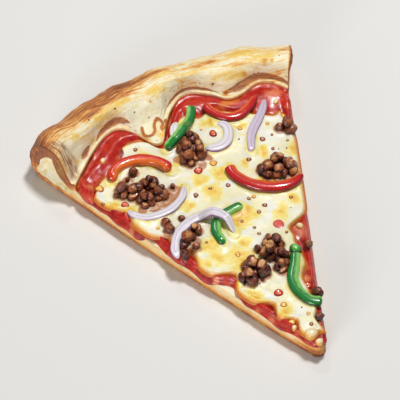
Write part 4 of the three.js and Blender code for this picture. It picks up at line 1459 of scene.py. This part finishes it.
def crumb(at, radius, rng, flat=0.92):
    """Points of a crumb, and how much each lies on a flat place that faces up: a painted highlight."""
    stretch = rng.uniform(0.82, 1.2, 3) * (1, 1, flat)
    points = BALL_POINTS.copy()
    facet = np.zeros(len(points))
    for _ in range(CUTS_OF_A_CRUMB):
        direction = rng.normal(size=3)
        direction /= np.linalg.norm(direction)
        over = np.clip(points @ direction - rng.uniform(0.72, 0.9), 0, None)
        points = points - over[:, None] * direction * 0.9
        shade = max(direction[2], 0) * rng.uniform(0.2, 1)
        facet = np.maximum(facet, smoothstep(over, 0.0, 0.04) * shade)
    shift = rng.uniform(0, 30, 3)
    lumps = 1.06 + 0.16 * wander(points + shift, 0.7, 71) + 0.07 * wander(points + shift, 0.3, 72)
    return np.array(at) + points * stretch * radius * lumps[:, None], facet


print("one crumb has", len(BALL_POINTS), "points and", len(BALL_FACES), "triangles")

# %% A heap of crumbs
MOUND_SHARE = 0.86
MOUND_HEIGHT = 2.3


def crumb_heap(crumbs, lobes, seed, palest=1.0):
    """One mesh of all crumbs, over low mounds that fill the heap's hollows and are painted dark
    as shade there.
    """
    rng = np.random.default_rng(seed)
    balls = []
    for x, y, reach in lobes:
        at = (x, y, CHEESE_TOP - 0.3)
        balls.append(crumb(at, reach * MOUND_SHARE, rng, flat=MOUND_HEIGHT / reach))
    balls += [crumb(one[:3], one[3], rng) for one in crumbs]
    # The mounds take the darkest tone: painted shade in the heap's hollows.
    tones = np.concatenate([np.zeros(len(lobes)), rng.uniform(0.1, palest, len(crumbs))])
    points = np.concatenate([points for points, _ in balls])
    facets = np.concatenate([facet for _, facet in balls])
    size = len(BALL_POINTS)
    owner = np.repeat(np.arange(len(balls)) - len(lobes), size)
    gap = np.full(len(points), 9.0)
    for i, (x, y, z, radius) in enumerate(crumbs):
        away = np.linalg.norm(points - (x, y, z), axis=1) - radius
        gap = np.where(owner == i, gap, np.minimum(gap, away))
    faces = np.concatenate([BALL_FACES + i * size for i in range(len(balls))])
    # Painted shade and light: low is darker towards the cheese, gap darker where crumbs touch,     top lighter on each crumb's top, facet lighter on flat faces that face up.
    marks = {
        "tone": np.repeat(tones, size),
        "low": smoothstep(points[:, 2], CHEESE_TOP + 2.2, CHEESE_TOP),
        "gap": np.exp(-np.clip(gap, 0, None) / 0.45),
        "top": np.tile(BALL_POINTS[:, 2], len(balls)),
        "facet": facets * palest,
    }
    return points, faces, marks


print("mounds under all heaps:", sum(len(lobes) for lobes, _ in BEEF_HEAPS))


# %% The beef's finish and its heaps
def beef_finish():
    f = Finish(
        "fried_ground_beef", Coat_Weight=0.3, Coat_Roughness=0.1,
        Subsurface_Weight=0.03, Subsurface_Scale=0.002,
    )
    grain = f.noise(0.7, 5, 0.65)
    # Each crumb's own brown and grain, with painted light on tops and upward flat faces and     painted shade low down and where crumbs touch.
    tone = f.weighted(
        (f.mark("tone"), 0.28), (grain, 0.60), (f.mark("top"), 0.16), (f.mark("facet"), 0.36),
        (f.mark("low"), -0.3), (f.mark("gap"), -0.34), -0.03,
    )
    f.colour(f.ramp(tone, [
        (0.14, (0.018, 0.002, 0.002)), (0.38, (0.085, 0.011, 0.005)), (0.56, (0.22, 0.045, 0.011)),
        (0.70, (0.40, 0.12, 0.032)), (0.84, (0.68, 0.34, 0.13)),
    ]))
    f.roughness(f.between(grain, 0.22, 0.5))
    f.bump(f.noise(0.9, 6, 0.7), 0.4, 0.55)
    return f.done()


BEEF = beef_finish()
for i, (heap, (lobes, _)) in enumerate(zip(heaps, BEEF_HEAPS)):
    points, faces, marks = crumb_heap(heap, lobes, seed=80 + i)
    finish_piece(f"beef_heap_{i + 1}", points, faces, marks, BEEF, "ground_beef", [f"beef_{i + 1}"])
points, faces, marks = crumb_heap(loose, [], seed=90, palest=0.5)
finish_piece("beef_loose_crumbs", points, faces, marks, BEEF, "ground_beef")

# %% [markdown]
# ## Small things on the cheese
#
# Browned blisters, burnt flour, drops of orange oil, bits of diced pepper, a thin disc of
# tomato, the round end of a green strip and beads of pale cheese give the eye a small scale.
# All are low domes on one recipe: many have a raised ring round a shallow hollow, and each has
# a skirt that ends under the surface. One mesh for each kind keeps the number of pieces low.

# %% Where the small things lie
# Each is (x, y, radius).
BLISTERS = [
    (-22.3, 141.2, 1.2), (5.7, 102, 1.3), (-2.5, 104.2, 1.0), (-10.1, 104, 1.4), (1.4, 80.8, 0.9),
    (10.5, 90.9, 1.1), (15.2, 84.2, 1.3), (10.9, 82, 1.2), (27.9, 82.2, 1.0), (4.7, 75, 0.9),
    (4.9, 71, 1.0), (16.3, 65.6, 0.9), (1, 16, 1.1), (33, 118.6, 1.5), (38.2, 118.8, 0.8),
    (43, 112.3, 0.8), (34.6, 111.3, 1.0), (21.6, 111, 1.3), (-18.7, 77.6, 0.8), (-49.8, 120.2, 1.0),
    (-8.6, 46.4, 0.7), (23.4, 124, 0.6),
]
SPECKS = [
    (1.8, 26, 0.6), (36.8, 109.8, 0.5), (40.3, 108.2, 0.6), (12, 100, 0.5), (-13, 112, 0.5),
    (25, 77, 0.5),
]
# Flour burnt to specks on the rim.
RIM_SPECKS = [
    (-14.6, 157, 0.5), (-23.2, 160, 0.6), (-8.6, 154, 0.5), (-37.3, 159.1, 0.6), (26.8, 156, 0.6),
    (60.4, 151.8, 0.5), (-5.5, 158, 0.4), (34, 158.6, 0.4),
]
OIL_DROPS = [
    (6, 117, 1.9), (13.2, 91, 1.2), (-9.4, 65, 1.4), (-4.7, 31, 1.6), (39.7, 125.8, 1.1),
    (49.2, 127.8, 1.4), (-47.5, 128.4, 2.1), (-34.3, 95.2, 1.0), (10.4, 137, 0.8), (27, 129.6, 1.3),
    (-5.8, 21.6, 1.9), (2.6, 21.4, 1.1),
]
PEPPER_BITS = [
    (14, 132.2, 2.1), (-2.4, 116.1, 2.2), (-3.5, 37.8, 2.2), (10.6, 36, 2.1), (-41.6, 114, 2.0),
]
CORAL_DISC = [(15.6, 71.4, 2.9)]
GREEN_CAP = [(14.4, 54.4, 2.9)]
CHEESE_BEADS = [
    (-38.8, 142, 1.5), (49.8, 135.8, 1.4), (-6.2, 18.4, 1.3), (-1.4, 11.6, 3.0), (0.2, 7.2, 1.8),
    (24.2, 67.4, 1.8),
]
print("on the cheese:", len(BLISTERS), "blisters,", len(SPECKS), "specks,", len(OIL_DROPS), "drops")

# %% One dome
SKIRT = 0.8


def dome(x, y, radius, height, hollow, rng, rings=12, sides=32):
    """A low dome on the surface at a place. The last ring lies under the surface."""
    part = np.linspace(0, 1, rings)[1:]
    floor = surface_at(x, y) - 0.25
    turn = np.linspace(0, 2 * np.pi, sides, endpoint=False)
    wobble = 1 + 0.07 * np.sin(2 * turn + rng.uniform(0, 6))
    wobble = wobble + 0.05 * np.sin(3 * turn + rng.uniform(0, 6))
    profile = np.sqrt(1 - part ** 2) - hollow * np.exp(-((part / 0.42) ** 2))
    out = radius * part[:, None] * wobble
    up = floor + height * profile[:, None] - SKIRT * (part[:, None] == 1) + 0 * out
    ring = np.stack([x + out * np.cos(turn), y + out * np.sin(turn), up], -1)
    ends = [[x, y, floor + height * (1 - hollow)], [x, y, floor - SKIRT]]
    points = np.concatenate([ends[:1], ring.reshape(-1, 3), ends[1:]])
    number = 1 + np.arange((rings - 1) * sides).reshape(rings - 1, sides)
    after = np.roll(number, -1, axis=1)
    first, last = np.zeros(sides, int), np.full(sides, len(points) - 1)
    faces = [np.stack([first, number[0], after[0]], -1), np.stack([last, after[-1], number[-1]], -1)]
    for k in range(rings - 2):
        faces.append(np.stack([number[k], number[k + 1], after[k + 1]], -1))
        faces.append(np.stack([number[k], after[k + 1], after[k]], -1))
    ringed = np.concatenate([[0], np.repeat(part, sides), [1]])
    return points, np.concatenate(faces), ringed


def dome_piece(name, places, height, hollow, material, slot, seed):
    """All domes of a kind in one piece. Larger ones are higher, but less than in proportion."""
    rng = np.random.default_rng(seed)
    domes = [dome(x, y, r, height * r ** 0.6, hollow, rng) for x, y, r in places]
    starts = np.cumsum([0] + [len(points) for points, _, _ in domes])
    points = np.concatenate([points for points, _, _ in domes])
    faces = np.concatenate([faces + start for (_, faces, _), start in zip(domes, starts)])
    marks = {"ring": np.concatenate([ringed for _, _, ringed in domes])}
    finish_piece(name, points, faces, marks, material, slot)


def ringed_finish(name, middle, ring, edge, gloss):
    f = Finish(
        name, Coat_Weight=gloss, Coat_Roughness=0.08,
        Subsurface_Weight=0.08, Subsurface_Scale=0.002,
    )
    fine = f.noise(0.9, 4)
    place = f.weighted((f.mark("ring"), 1.0), (fine, 0.3), -0.15)
    f.colour(f.ramp(place, [(0.15, middle), (0.5, ring), (0.68, ring), (0.84, edge)]))
    f.roughness(f.between(fine, 0.15, 0.4))
    f.bump(fine, 0.2, 0.4)
    return f.done()


drop_x, drop_y, _ = OIL_DROPS[0]
print("the first oil drop lies at a height of", round(surface_at(drop_x, drop_y), 1), "mm")

# %% Finishes of the small things
# Each has a name, the colours of its middle, ring and edge, and its gloss.
BLISTER = ringed_finish("browned_blister", (0.86, 0.42, 0.1), (0.17, 0.03, 0.008), (0.36, 0.1, 0.02), 0.3)
SPECK = ringed_finish("dark_speck", (0.08, 0.03, 0.012), (0.10, 0.035, 0.014), (0.30, 0.13, 0.04), 0.2)
OIL = ringed_finish("orange_oil", (0.92, 0.60, 0.10), (0.84, 0.38, 0.035), (0.42, 0.11, 0.012), 0.6)
BITS = ringed_finish("diced_red_pepper", (0.84, 0.26, 0.06), (0.64, 0.045, 0.014), (0.3, 0.01, 0.008), 0.5)
CORAL = ringed_finish("thin_tomato", (0.74, 0.11, 0.07), (0.72, 0.10, 0.065), (0.66, 0.10, 0.06), 0.05)
CAP = ringed_finish("green_pepper_end", (0.3, 0.66, 0.2), (0.08, 0.4, 0.06), (0.006, 0.09, 0.016), 0.4)
BEADS = ringed_finish("soft_cheese_bead", (0.92, 0.86, 0.64), (0.91, 0.76, 0.42), (0.82, 0.44, 0.1), 0.4)

# %% The small things
# Each call gives the places, height in mm, depth of the hollow, finish, slot and seed.
dome_piece("browned_blisters", BLISTERS, 0.75, 0.4, BLISTER, "melted_cheese", 101)
dome_piece("dark_specks", SPECKS, 0.5, 0.0, SPECK, "melted_cheese", 102)
dome_piece("rim_specks", RIM_SPECKS, 0.45, 0.0, SPECK, "crust", 108)
dome_piece("oil_drops", OIL_DROPS, 0.65, 0.25, OIL, "melted_cheese", 103)
dome_piece("pepper_bits", PEPPER_BITS, 0.85, 0.3, BITS, "red_pepper", 104)
dome_piece("thin_tomato_disc", CORAL_DISC, 0.30, 0.1, CORAL, "tomato_sauce", 105)
dome_piece("green_pepper_cap", GREEN_CAP, 2.0, 0.08, CAP, "green_pepper", 107)
dome_piece("cheese_beads", CHEESE_BEADS, 1.35, 0.0, BEADS, "melted_cheese", 106)

# %% [markdown]
